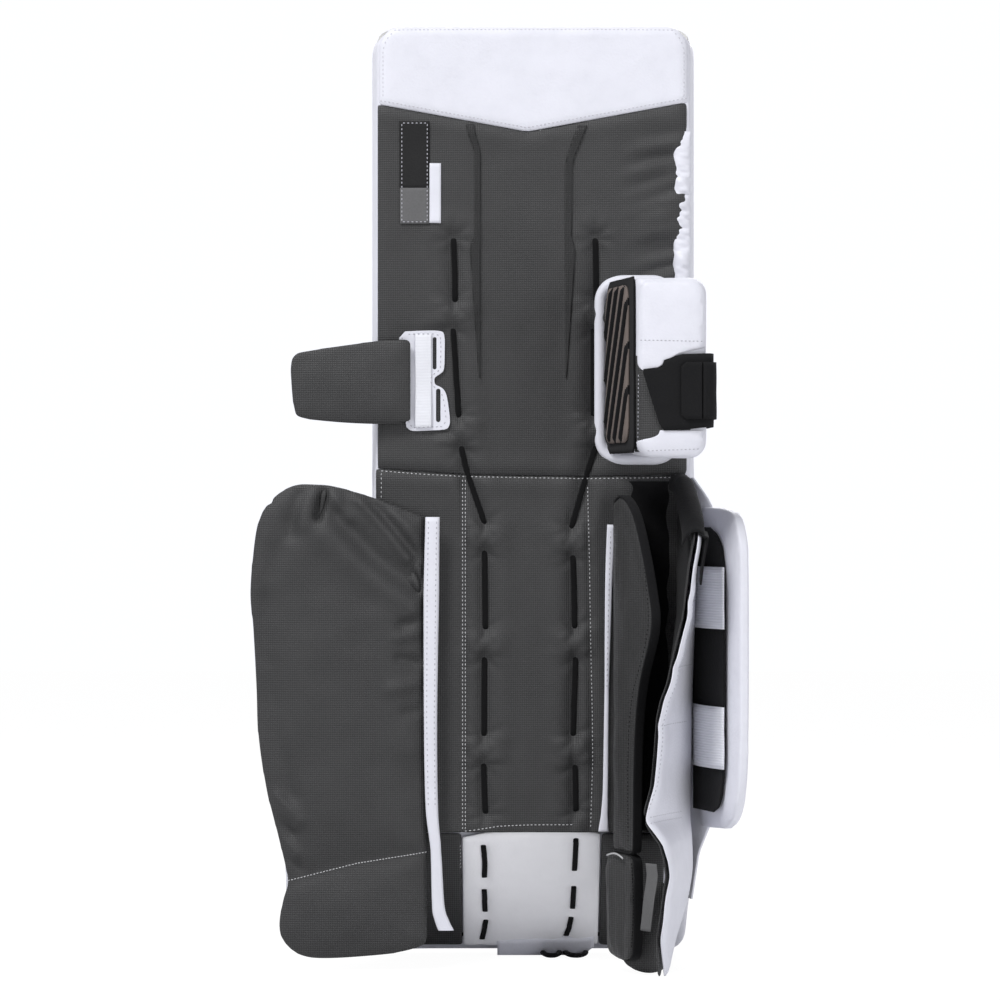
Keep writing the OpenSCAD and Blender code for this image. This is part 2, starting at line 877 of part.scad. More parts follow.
// Ends of the toe's cord, lying across the tab
module toe_cords() {
    r = toe_cord_d / 2;
    z = 15 - boot_floor;
    piece("black") boot_frame()
        for (x = [toe_tab_x - 3, toe_tab_x + 14])
            translate([x, -toe_tab_t - r, z]) rotate([0, 90, 0]) cylinder(h = 13, r = r, $fn = arc);
}

thigh_core();
thigh_stiffener();
thigh_front_skin();
thigh_back_panel();
thigh_cap_panel();
thigh_side_roll();
thigh_laces();
size_patch();
knee_block_flange();
knee_block_body();
knee_grip_pad();
knee_face_panel_upper();
knee_face_panel_lower();
knee_strap();
knee_strap_tab();
knee_wing_plate();
knee_wing_webbing();
knee_wing_pad();
shin_core();
shin_stiffener();
shin_front_skin();
shin_back_panel();
shin_laces();
channel_liner();
wing_binding();
outer_wrap_binding();
calf_block_body();
calf_block_lining();
calf_block_gusset();
calf_strap_upper();
calf_strap_lower();
outer_wrap_pad();
outer_wrap_ankle_pad();
outer_wrap_shell();
channel_wing_pad();
ankle_wing_pad();
inner_wrap_pad();
inner_wrap_shell();
inner_wrap_ankle_pad();
inner_wrap_band();
care_tag();
boot_core();
boot_stiffener();
boot_front_skin();
boot_back_panel();
boot_side_panels();
boot_laces();
toe_roll();
toe_tab();
toe_cords();
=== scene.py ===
# %% [markdown]
# # A goalkeeper's leg pad, dressed around its CAD frame
# The pad's construction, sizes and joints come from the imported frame. This script adds what a
# sewing room would: covers, padding, laces, webbing and stitches, each in its own cell.

# %% Load the frame
import bpy
import bmesh
import math
import numpy as np
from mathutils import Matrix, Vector, noise
from mathutils.bvhtree import BVHTree


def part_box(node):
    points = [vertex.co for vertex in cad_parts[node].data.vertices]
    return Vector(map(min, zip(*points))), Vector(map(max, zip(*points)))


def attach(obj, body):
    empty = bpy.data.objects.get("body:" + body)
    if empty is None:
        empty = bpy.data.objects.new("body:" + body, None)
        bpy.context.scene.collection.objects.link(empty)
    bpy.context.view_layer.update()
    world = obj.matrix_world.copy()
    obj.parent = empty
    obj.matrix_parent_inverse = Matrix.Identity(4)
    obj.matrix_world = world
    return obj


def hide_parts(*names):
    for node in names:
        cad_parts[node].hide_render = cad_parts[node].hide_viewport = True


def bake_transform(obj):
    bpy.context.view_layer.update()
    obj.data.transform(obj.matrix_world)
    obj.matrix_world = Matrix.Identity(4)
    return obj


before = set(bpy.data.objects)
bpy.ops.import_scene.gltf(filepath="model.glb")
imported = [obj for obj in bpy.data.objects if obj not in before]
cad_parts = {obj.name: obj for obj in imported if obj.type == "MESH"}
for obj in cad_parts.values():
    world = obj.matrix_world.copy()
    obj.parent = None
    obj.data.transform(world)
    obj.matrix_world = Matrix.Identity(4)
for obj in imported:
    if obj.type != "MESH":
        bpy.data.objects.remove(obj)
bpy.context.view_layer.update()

# %% [markdown]
# The pad is drawn in millimetres, with its leg side on y = 0, because that is how a pattern cutter
# would measure it. One helper turns such a point into the frame's metres.

# %% Pad coordinates
MM = 0.001
LEG_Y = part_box("shin_back_panel")[0].y / MM
PAD_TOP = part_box("thigh_front_skin")[1].z / MM
KNEE_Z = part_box("shin_front_skin")[1].z / MM
HALF_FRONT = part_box("thigh_front_skin")[1].x / MM
FRONT_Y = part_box("shin_front_skin")[1].y / MM - LEG_Y
ANKLE_Z = 117.0
BOOT_LEAN = math.radians(45)


def at(x, y, z):
    """A point of the pad, in millimetres from its leg side, as a place in the frame."""
    return Vector((x, y + LEG_Y, z)) * MM


def linked(name, data):
    """A new object with the given data, in the scene."""
    made = bpy.data.objects.new(name, data)
    bpy.context.scene.collection.objects.link(made)
    return made


print("leg side y %.1f mm, knee fold z %.1f mm, top z %.1f mm" % (LEG_Y, KNEE_Z, PAD_TOP))

# %% [markdown]
# The camera comes first. It looks level along +Y with a long lens, so the pad keeps its upright
# sides. The image points below say where each named place shows in the photograph, and the last
# cell measures how far the finished pieces are from them.

# %% Camera
CAMERA_X = -28.6
CAMERA_Z = 401.0
CAMERA_FAR = 3500.0
LENS = 147.4
SENSOR = 36.0
IMAGE = 1000

camera_data = bpy.data.cameras.new("camera")
camera_data.sensor_fit = "AUTO"
camera_data.sensor_width = SENSOR
camera_data.lens = LENS
camera = linked("camera", camera_data)
camera.location = at(CAMERA_X, -CAMERA_FAR, CAMERA_Z)
camera.rotation_euler = (math.radians(90), 0, 0)
bpy.context.scene.camera = camera
bpy.context.view_layer.update()

POINTS = {
    "left_edge": (249.5, None),
    "right_edge": (751.5, None),
    "top_edge": (None, 24),
    "bottom_edge": (None, 979),
    "cap_point": (527, 132),
    "cap_left": (378, 103),
    "patch_corner": (400, 121.5),
    "lace_left_top": (453.5, 238),
    "lace_right_top": (595, 238),
    "block_corner": (637, 277),
    "knee_wing_tip": (290.6, 365),
    "plate_corner": (444, 335),
    "wing_peak": (657, 617),
    "outer_notch": (287.5, 882),
    "boot_corner": (463, 946),
}
print("camera lens %.1f mm at %.1f m" % (LENS, CAMERA_FAR * MM))

# %% Places in the image and search trees
def to_image(p):
    """Where a point of the frame shows in the image."""
    local = camera.matrix_world.inverted() @ Vector(p)
    scale = IMAGE * LENS / SENSOR / -local.z
    return IMAGE / 2 + local.x * scale, IMAGE / 2 - local.y * scale


def tree_of(pieces):
    """One search tree over the finished faces of several pieces."""
    points, faces = [], []
    graph = bpy.context.evaluated_depsgraph_get()
    for piece in pieces:
        shape = piece.evaluated_get(graph)
        mesh = shape.to_mesh()
        first = len(points)
        points += [shape.matrix_world @ v.co for v in mesh.vertices]
        faces += [[first + i for i in f.vertices] for f in mesh.polygons]
        shape.to_mesh_clear()
    return BVHTree.FromPolygons(points, faces)


print("a point at the pad's middle shows at", [round(c, 1) for c in to_image(at(0, 0, KNEE_Z))])

# %% [markdown]
# Plain studio light: a soft key from the upper left, a weaker fill, a back lamp and an even pale
# world. The floor turns white for the camera alone. The world does so for the camera and in
# mirrored and see-through views, so the object keeps its own soft light.

# %% Light, floor and world
def soft_lamp(name, spot, aim_z, size, power):
    """A round lamp at a spot, turned to a height on the pad's middle."""
    data = bpy.data.lights.new(name, "AREA")
    data.shape = "DISK"
    data.size = size
    data.energy = power
    lamp = linked(name, data)
    lamp.location = at(*spot)
    aim = at(0, 0, aim_z) - lamp.location
    lamp.rotation_euler = aim.to_track_quat("-Z", "Y").to_euler()


soft_lamp("key", (-1700, -1900, 3600), 420, 1.5, 132)
soft_lamp("fill", (1500, -1900, 500), 400, 1.4, 17)
soft_lamp("back", (400, 1900, 1700), 400, 1.4, 26)

world = bpy.data.worlds.new("pale_world")
bpy.context.scene.world = world
world.use_nodes = True
nodes, links = world.node_tree.nodes, world.node_tree.links
background = nodes["Background"]
background.inputs["Color"].default_value = (0.94, 0.95, 1.0, 1)
path = nodes.new("ShaderNodeLightPath")
WORLD_LEVEL = 0.32
WORLD_SEEN = 1.06
seen = path.outputs["Is Camera Ray"]
for kind in ("Is Glossy Ray", "Is Transmission Ray"):
    either = nodes.new("ShaderNodeMath")
    either.operation = "MAXIMUM"
    links.new(seen, either.inputs[0])
    links.new(path.outputs[kind], either.inputs[1])
    seen = either.outputs[0]
strength = nodes.new("ShaderNodeMath")
strength.operation = "MULTIPLY_ADD"
strength.inputs[1].default_value = WORLD_SEEN - WORLD_LEVEL
strength.inputs[2].default_value = WORLD_LEVEL
links.new(seen, strength.inputs[0])
links.new(strength.outputs[0], background.inputs["Strength"])

floor_mesh = bpy.data.meshes.new("floor")
floor_mesh.from_pydata(
    [(-6, -6, 0), (6, -6, 0), (6, 6, 0), (-6, 6, 0)], [], [(0, 1, 2, 3)])
floor = linked("floor", floor_mesh)
floor_paint = bpy.data.materials.new("floor_paint")
floor_paint.use_nodes = True
floor_nodes, floor_links = floor_paint.node_tree.nodes, floor_paint.node_tree.links
floor_nodes.clear()
flat = floor_nodes.new("ShaderNodeBsdfDiffuse")
flat.inputs["Color"].default_value = (0.85, 0.85, 0.86, 1)
glow = floor_nodes.new("ShaderNodeEmission")
glow.inputs["Strength"].default_value = 1.07
mixer = floor_nodes.new("ShaderNodeMixShader")
ray = floor_nodes.new("ShaderNodeLightPath")
share = floor_nodes.new("ShaderNodeMath")
share.operation = "MULTIPLY"
share.inputs[1].default_value = 0.9
out = floor_nodes.new("ShaderNodeOutputMaterial")
floor_links.new(ray.outputs["Is Camera Ray"], share.inputs[0])
floor_links.new(share.outputs[0], mixer.inputs[0])
floor_links.new(flat.outputs[0], mixer.inputs[1])
floor_links.new(glow.outputs[0], mixer.inputs[2])
floor_links.new(mixer.outputs[0], out.inputs["Surface"])
floor.data.materials.append(floor_paint)
bpy.context.scene.view_settings.view_transform = "Standard"
print("lamps: key, fill and back; world level", WORLD_LEVEL)

# %% [markdown]
# Shader maths reads best as ordinary arithmetic. A small class wraps a socket, so that
# `1 - weave * 0.2` adds the Math nodes by itself, and one method adds any other node.

# %% Shader values and finishes
WAVE_TURNS = 20  # a wave texture of scale 1 repeats every 2 pi / 20 metres


class Value:
    """A number in a shader that understands + - * / and turns them into Math nodes."""

    def __init__(self, tree, socket):
        self.tree, self.socket = tree, socket

    def _math(self, operation, first, second):
        node = self.tree.nodes.new("ShaderNodeMath")
        node.operation = operation
        for slot, value in zip(node.inputs, (first, second)):
            if isinstance(value, Value):
                self.tree.links.new(value.socket, slot)
            else:
                slot.default_value = value
        return Value(self.tree, node.outputs[0])

    def __add__(self, other):
        return self._math("ADD", self, other)

    def __radd__(self, other):
        return self._math("ADD", other, self)

    def __sub__(self, other):
        return self._math("SUBTRACT", self, other)

    def __rsub__(self, other):
        return self._math("SUBTRACT", other, self)

    def __mul__(self, other):
        return self._math("MULTIPLY", self, other)

    def __rmul__(self, other):
        return self._math("MULTIPLY", other, self)

    def sharpen(self, power):
        return self._math("POWER", self, power)


class Finish:
    """A material being built, with one method for every node that isn't plain maths."""

    def __init__(self, name):
        self.material = bpy.data.materials.new(name)
        self.material.use_nodes = True
        self.tree = self.material.node_tree
        self.shader = self.tree.nodes["Principled BSDF"]
        self.place = self.node("ShaderNodeTexCoord", {}, "Object")

    def node(self, kind, settings, output, **values):
        """Add a node: its settings first, then values or links for its sockets, and give one output."""
        made = self.tree.nodes.new(kind)
        for key, value in settings.items():
            setattr(made, key, value)
        for key, value in values.items():
            slot = made.inputs[key.replace("_", " ")]
            if isinstance(value, Value):
                self.tree.links.new(value.socket, slot)
            else:
                slot.default_value = value
        return Value(self.tree, made.outputs[output])

    def noise(self, scale, detail):
        return self.node(
            "ShaderNodeTexNoise", {}, "Fac", Vector=self.place, Scale=scale, Detail=detail)

    def bands(self, direction, period_mm):
        """Fine ribs a given number of millimetres apart along an axis."""
        scale = 2 * math.pi / (WAVE_TURNS * period_mm * MM)
        return self.node(
            "ShaderNodeTexWave", {"bands_direction": direction}, "Fac", Vector=self.place, Scale=scale)

    def mix(self, share, first, second):
        made = self.tree.nodes.new("ShaderNodeMix")
        made.data_type = "RGBA"
        self.tree.links.new(share.socket, made.inputs["Factor"])
        for slot, colour in ((6, first), (7, second)):
            made.inputs[slot].default_value = (*colour, 1)
        return Value(self.tree, made.outputs[2])

    def bump(self, height, depth_mm, strength):
        normal = self.node(
            "ShaderNodeBump", {}, "Normal", Height=height, Strength=strength, Distance=depth_mm * MM)
        self.tree.links.new(normal.socket, self.shader.inputs["Normal"])

    def colour(self, value):
        self.tree.links.new(value.socket, self.shader.inputs["Base Color"])

    def rough(self, value):
        self.tree.links.new(value.socket, self.shader.inputs["Roughness"])

    def fixed(self, **values):
        for key, value in values.items():
            self.shader.inputs[key.replace("_", " ")].default_value = value
        return self


print("shader helpers ready")

# %% [markdown]
# The pad's own finishes. Its grey panels are a tough woven nylon, whose fine crossed threads catch
# the light; the white parts are a coated leather with a shallow pebble grain. Both have slow
# changes of tone, because a flat colour would look like plastic sheet.

# %% Woven nylon and white leather
THREAD_MM = 1.9


def woven(name, tone, pale):
    """Woven nylon: upright and level threads, a little uneven, with slow mottling."""
    made = Finish(name)
    warp = made.bands("X", THREAD_MM)
    weft = made.bands("Z", THREAD_MM)
    thread = made.noise(1100, 2.0)
    cloud = made.noise(22, 4.0)
    weave = warp * 0.3 + weft * 0.3 + thread * 0.4
    made.colour(made.mix(weave * 0.75 + cloud * 0.25, tone, pale))
    made.rough(0.50 + cloud * 0.12)
    made.bump(weave + cloud * 0.5, 0.9, 0.6)
    return made.fixed(Sheen_Weight=0.04, Sheen_Roughness=0.4, Specular_IOR_Level=0.34).material


def leather(name, tone, dull, grain_mm=0.35):
    """Coated leather: pebble grain, long shallow creases and faint scuffs."""
    made = Finish(name)
    pebble = made.node(
        "ShaderNodeTexVoronoi", {"feature": "SMOOTH_F1"}, "Distance", Vector=made.place, Scale=520.0)
    crease = made.noise(26, 6.0)
    scuff = made.noise(75, 5.0).sharpen(3)
    made.colour(made.mix(scuff * 0.8 + crease * 0.25, tone, dull))
    made.rough(0.38 + crease * 0.2 + scuff * 0.2)
    made.bump(pebble * 0.45 + crease * 1.1, grain_mm * 2.4, 0.45)
    return made.fixed(Specular_IOR_Level=0.42).material


GREY = woven("grey_twill", (0.001, 0.001, 0.001), (0.064, 0.064, 0.065))
STRIPE = woven("dark_twill", (0.002, 0.002, 0.002), (0.018, 0.018, 0.0185))
WHITE = leather("white_leather", (0.74, 0.745, 0.81), (0.62, 0.625, 0.685))
BOOT_WHITE = leather("boot_leather", (0.94, 0.94, 0.97), (0.86, 0.86, 0.89), 0.3)
print("finishes:", GREY.name, STRIPE.name, WHITE.name, BOOT_WHITE.name)

# %% [markdown]
# The smaller finishes: flat laces, hook-and-loop tape, a knitted black lining, ribbed webbing and
# elastic, the brown grip cloth, blank patches and sewing thread.

# %% Tapes, lining, grip and thread
def ribbed(name, tone, pale, direction, period_mm, rough, depth_mm=0.3):
    """A woven tape whose ribs run across one axis."""
    made = Finish(name)
    rib = made.bands(direction, period_mm)
    cloud = made.noise(60, 4.0)
    made.colour(made.mix(rib * 0.5 + cloud * 0.5, tone, pale))
    made.rough(rough + cloud * 0.1)
    made.bump(rib + cloud * 0.4, depth_mm, 0.5)
    return made.fixed(Specular_IOR_Level=0.3).material


def fuzzy(name, tone, pale, scale):
    """A brushed or looped face: fine noise that breaks up the light."""
    made = Finish(name)
    loop = made.noise(scale, 5.0)
    cloud = made.noise(40, 3.0)
    made.colour(made.mix(loop * 0.6 + cloud * 0.4, tone, pale))
    made.rough(0.86 + cloud * 0.08)
    made.bump(loop, 0.5, 0.6)
    return made.fixed(Sheen_Weight=0.03, Sheen_Roughness=0.6, Specular_IOR_Level=0.12).material


LACE = fuzzy("black_lace", (0.0015, 0.0015, 0.0017), (0.006, 0.006, 0.0065), 900.0)
WEBBING = ribbed("white_webbing", (0.70, 0.71, 0.76), (0.84, 0.85, 0.90), "Z", 1.3, 0.62)
ELASTIC = ribbed("white_elastic", (0.66, 0.67, 0.72), (0.82, 0.83, 0.88), "Z", 2.2, 0.66, 0.5)
GRIP = ribbed("brown_grip", (0.115, 0.092, 0.082), (0.20, 0.168, 0.152), "Y", 1.1, 0.8, 0.25)
HOOK = fuzzy("hook_and_loop", (0.004, 0.004, 0.0045), (0.014, 0.014, 0.015), 900.0)
LINING = fuzzy("black_lining", (0.003, 0.003, 0.0035), (0.010, 0.010, 0.011), 420.0)
PATCH = fuzzy("blank_patch", (0.10, 0.10, 0.10), (0.16, 0.16, 0.165), 700.0)
PATCH_DARK = fuzzy("dark_patch", (0.012, 0.012, 0.013), (0.03, 0.03, 0.03), 700.0)
THREAD = fuzzy("pale_thread", (0.42, 0.42, 0.43), (0.62, 0.62, 0.64), 1500.0)
WHITE_THREAD = fuzzy("white_thread", (0.50, 0.50, 0.54), (0.62, 0.62, 0.67), 1500.0)
DULL_THREAD = fuzzy("dull_thread", (0.40, 0.40, 0.44), (0.52, 0.52, 0.57), 1500.0)
FOAM = fuzzy("core_foam", (0.60, 0.60, 0.58), (0.74, 0.74, 0.72), 260.0)
SHEET = fuzzy("stiffener_sheet", (0.02, 0.02, 0.02), (0.035, 0.035, 0.035), 120.0)
print("finishes in all:", len([m for m in bpy.data.materials if m.users or m.use_nodes]))

# %% [markdown]
# Every piece is made from rows of points. Neighbouring rows become strips of faces, and closed
# rows become a tube that is capped at both ends. Each piece gets its finish when it is made, and one
# function then puts it on its body and hides the CAD nodes that it stands for.

# %% Building pieces from rows of points
def faces_between(rows, closed):
    """Quads that join each row of points to the next."""
    width = len(rows[0])
    last = width if closed else width - 1
    return [
        (r * width + i, r * width + (i + 1) % width,
         (r + 1) * width + (i + 1) % width, (r + 1) * width + i)
        for r in range(len(rows) - 1) for i in range(last)
    ]


def face_outward(mesh):
    """Turn every face outward and shade the mesh smooth."""
    work = bmesh.new()
    work.from_mesh(mesh)
    bmesh.ops.recalc_face_normals(work, faces=work.faces)
    work.to_mesh(mesh)
    work.free()
    for face in mesh.polygons:
        face.use_smooth = True


def thicken(made, thick_mm):
    """Turn a sheet into a solid, half of its thickness on each side."""
    solid = made.modifiers.new("thickness", "SOLIDIFY")
    solid.thickness = thick_mm * MM
    solid.offset = 0


def soften(made):
    """Round a piece by one step of subdivision."""
    smooth = made.modifiers.new("smooth", "SUBSURF")
    smooth.levels = smooth.render_levels = 1
    return smooth


def bake(made, modifier):
    """Apply a modifier and give back the new mesh."""
    graph = bpy.context.evaluated_depsgraph_get()
    even = bpy.data.meshes.new_from_object(made.evaluated_get(graph))
    made.modifiers.remove(modifier)
    made.data = even
    return even


def mesh_piece(name, points, faces, finish):
    mesh = bpy.data.meshes.new(name)
    mesh.from_pydata([tuple(p) for p in points], [], faces)
    mesh.validate()
    face_outward(mesh)
    mesh.materials.append(finish)
    return linked(name, mesh)


def sheet_piece(name, rows, finish, thick_mm):
    """A sheet of rows, given a thickness."""
    made = mesh_piece(name, [p for row in rows for p in row], faces_between(rows, False), finish)
    thicken(made, thick_mm)
    return made


def tube_faces(rings):
    """The faces of a tube of rings, with both ends capped."""
    width = len(rings[0])
    last = (len(rings) - 1) * width
    ends = [tuple(range(width)), tuple(last + i for i in range(width))]
    return faces_between(rings, True) + ends


def tube_piece(name, rings, finish):
    """Closed rings joined into a tube with capped ends."""
    return mesh_piece(name, [p for ring in rings for p in ring], tube_faces(rings), finish)


def join_parts(name, parts, finish):
    """Several lists of (points, faces) as one piece."""
    points, faces = [], []
    for part_points, part_faces in parts:
        first = len(points)
        points += part_points
        faces += [tuple(first + i for i in face) for face in part_faces]
    return mesh_piece(name, points, faces, finish)


def dress(made, body, slot, *stands_for):
    """Let a piece ride on its body and hide the CAD nodes that it stands for."""
    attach(made, body)
    if stands_for:
        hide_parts(*stands_for)
    return made


def ease(t):
    t = min(max(t, 0.0), 1.0)
    return t * t * (3 - 2 * t)


def round_in(radius, gap):
    """How far a round corner has drawn in, at a gap from where it ends."""
    return radius - math.sqrt(max(radius ** 2 - max(radius - gap, 0) ** 2, 0))


def turned_in(depth, gap, width):
    """How deep a cloth's edge turns in at a gap from it; the turn is as wide as told."""
    return depth * (1 - math.sqrt(min(max(gap / width, 0), 1)))


def near_bump(gap, width):
    """A soft bump of height 1 that fades with the gap."""
    return math.exp(-(gap / width) ** 2)


def span(a, b, count):
    return [a + (b - a) * i / (count - 1) for i in range(count)]


def blend_list(table, v):
    """A value read from a short list of (height, value) pairs, with straight steps between them."""
    if v <= table[0][0]:
        return table[0][1]
    for (v0, a), (v1, b) in zip(table, table[1:]):
        if v <= v1:
            return a + (b - a) * (v - v0) / (v1 - v0)
    return table[-1][1]


def ripple(x, y, z, size_mm):
    """A repeatable gentle unevenness from -1 to 1."""
    return noise.noise(Vector((x, y, z)) / size_mm)


print("piece helpers ready")

# %% [markdown]
# A lace, a strip of webbing or a strap is a ribbon: a rounded flat section carried along a path.
# The section needs to know which way is up, so each path point brings its surface normal.

# %% Ribbons
RIBBON_CORNERS = 12


def ribbon_part(path, normals, width_mm, thick_mm, power):
    """Points and faces of a ribbon along a path; power rounds its section."""
    rings = []
    for i, spot in enumerate(path):
        before, after = path[max(i - 1, 0)], path[min(i + 1, len(path) - 1)]
        along = (after - before).normalized()
        up = (normals[i] - along * normals[i].dot(along)).normalized()
        across = along.cross(up)
        ring = []
        for k in range(RIBBON_CORNERS):
            turn = 2 * math.pi * (k + 0.5) / RIBBON_CORNERS
            c, s = math.cos(turn), math.sin(turn)
            ring.append(
                spot + across * math.copysign(abs(c) ** power, c) * width_mm * MM / 2
                + up * math.copysign(abs(s) ** power, s) * thick_mm * MM / 2)
        rings.append(ring)
    return [p for ring in rings for p in ring], tube_faces(rings)


STITCH_LONG = 2.3
STITCH_WIDE = 0.9


def stitch_part(spot, along, up):
    """One stitch: a small spindle half sunk in the cloth."""
    along = (along - up * along.dot(up)).normalized()
    across = along.cross(up)
    low = up * (0.25 * STITCH_WIDE * MM)
    points = [spot - along * STITCH_LONG * MM / 2 - low]
    for reach in (-0.25, 0.25):
        middle = spot + along * reach * STITCH_LONG * MM
        for k in range(6):
            turn = 2 * math.pi * k / 6
            side = across * math.cos(turn) + up * math.sin(turn)
            points.append(middle + side * 0.9 * STITCH_WIDE * MM / 2)
    points.append(spot + along * STITCH_LONG * MM / 2 - low)
    faces = [(0, 1 + (k + 1) % 6, 1 + k) for k in range(6)]
    faces += [(1 + k, 1 + (k + 1) % 6, 7 + (k + 1) % 6, 7 + k) for k in range(6)]
    faces += [(13, 7 + k, 7 + (k + 1) % 6) for k in range(6)]
    return points, faces


TOWARD = Vector((0, 1, 0))


def facing(normal, toward):
    """The normal, turned to face whoever looks along `toward`."""
    return -normal if normal.dot(toward) > 0 else normal


def stitch_row(name, lines, carriers, pitch_mm, finish, body, slot, toward=TOWARD):
    """Stitches along lines of points, each dropped along `toward` on to what carries them."""
    tree = tree_of(carriers)
    parts = []
    for line in lines:
        for a, b in zip(line, line[1:]):
            count = max(int((b - a).length / (pitch_mm * MM)), 1)
            for i in range(count):
                guide = a + (b - a) * (i + 0.5) / count
                spot, normal = tree.ray_cast(guide - toward * 0.05, toward, 0.12)[:2]
                if spot is not None:
                    parts.append(stitch_part(spot, b - a, facing(normal, toward)))
    dress(join_parts(name, parts, finish), body, slot)
    print(name, "has", len(parts), "stitches")


def drop(x, z, tree, lift_mm=0.0):
    """The place on the leg side under a point given by its x and height, with its normal."""
    spot, normal = tree.ray_cast(at(x, -60, z), TOWARD, 0.3)[:2]
    if spot is None:
        spot, normal = tree.find_nearest(at(x, 0, z))[:2]
    normal = facing(normal, TOWARD)
    return spot + normal * lift_mm * MM, normal


print("ribbon and stitch helpers ready")

# %% [markdown]
# A wrap or wing is foam sewn between two layers of cloth. It is drawn flat as an outline, made
# into a thin slab, and blown up a little as cloth, with its seams pinned down so that the foam
# puffs between them. Only then is it stood up in its place on the pad.

# %% Padded leaves blown up as cloth
FRAMES = 20
PRESSURE = 4.0


def curve_through(points, steps):
    """A smooth open line through given points."""
    line = []
    for i in range(len(points) - 1):
        a, b = Vector(points[max(i - 1, 0)]), Vector(points[i])
        c, d = Vector(points[i + 1]), Vector(points[min(i + 2, len(points) - 1)])
        for k in range(steps):
            t = k / steps
            line.append(0.5 * (
                2 * b + (c - a) * t + (2 * a - 5 * b + 4 * c - d) * t * t
                + (3 * b - a - 3 * c + d) * t * t * t))
    line.append(Vector(points[-1]))
    return [tuple(p) for p in line]


def nearest_on(lines, u, v):
    """Of several lines, the nearest place to each point of the flat drawing, and its distance."""
    near, best_u, best_v = np.full(len(u), 1e6), u.copy(), v.copy()
    for line in lines:
        for (u0, v0), (u1, v1) in zip(line, line[1:]):
            du, dv = u1 - u0, v1 - v0
            t = np.clip(((u - u0) * du + (v - v0) * dv) / max(du * du + dv * dv, 1e-9), 0, 1)
            gap = np.hypot(u - u0 - t * du, v - v0 - t * dv)
            closer = gap < near
            near = np.where(closer, gap, near)
            best_u = np.where(closer, u0 + t * du, best_u)
            best_v = np.where(closer, v0 + t * dv, best_v)
    return best_u, best_v, near


def distance_to(lines, u, v):
    return nearest_on(lines, u, v)[2]


def soft_step(t):
    """The same curve as ease, for a whole list of values."""
    t = np.clip(t, 0, 1)
    return t * t * (3 - 2 * t)


def waves(u, v, seed, size_mm):
    """The gentle unevenness over a whole list of points."""
    return np.array([ripple(a, b, seed, size_mm) for a, b in zip(u, v)])


def creases(u, v, table):
    """Fold lines, each with a height and a width, that fade out towards their ends."""
    total = np.zeros(len(u))
    for line, height, width in table:
        gap = distance_to([curve_through(line, 4)], u, v)
        total += height * np.exp(-(gap / width) ** 2)
    return total


def blow_up(made, near_seam, cap_mm):
    """Swell a closed mesh as cloth, with its seams pinned, and keep the result."""
    group = made.vertex_groups.new(name="pinned")
    for i in np.nonzero(near_seam)[0]:
        group.add([int(i)], 1.0, "REPLACE")
    cloth = made.modifiers.new("cloth", "CLOTH")
    cloth.settings.quality = 5
    cloth.settings.mass = 0.3
    cloth.settings.tension_stiffness = 12
    cloth.settings.bending_stiffness = 0.4
    cloth.settings.use_pressure = True
    cloth.settings.uniform_pressure_force = PRESSURE
    cloth.settings.vertex_group_mass = "pinned"
    cloth.settings.effector_weights.gravity = 0
    cloth.point_cache.frame_start, cloth.point_cache.frame_end = 1, FRAMES
    before = np.array([v.co for v in made.data.vertices])
    for step in range(1, FRAMES + 1):
        bpy.context.scene.frame_set(step)
    graph = bpy.context.evaluated_depsgraph_get()
    shape = made.evaluated_get(graph).to_mesh()
    after = np.array([v.co for v in shape.vertices])
    made.evaluated_get(graph).to_mesh_clear()
    made.modifiers.remove(cloth)
    bpy.context.scene.frame_set(1)
    moved = after - before
    length = np.linalg.norm(moved, axis=1, keepdims=True)
    limit = cap_mm * MM
    moved *= np.minimum(1, limit / np.maximum(length, 1e-9))
    made.data.vertices.foreach_set("co", (before + moved).ravel())
    made.data.update()


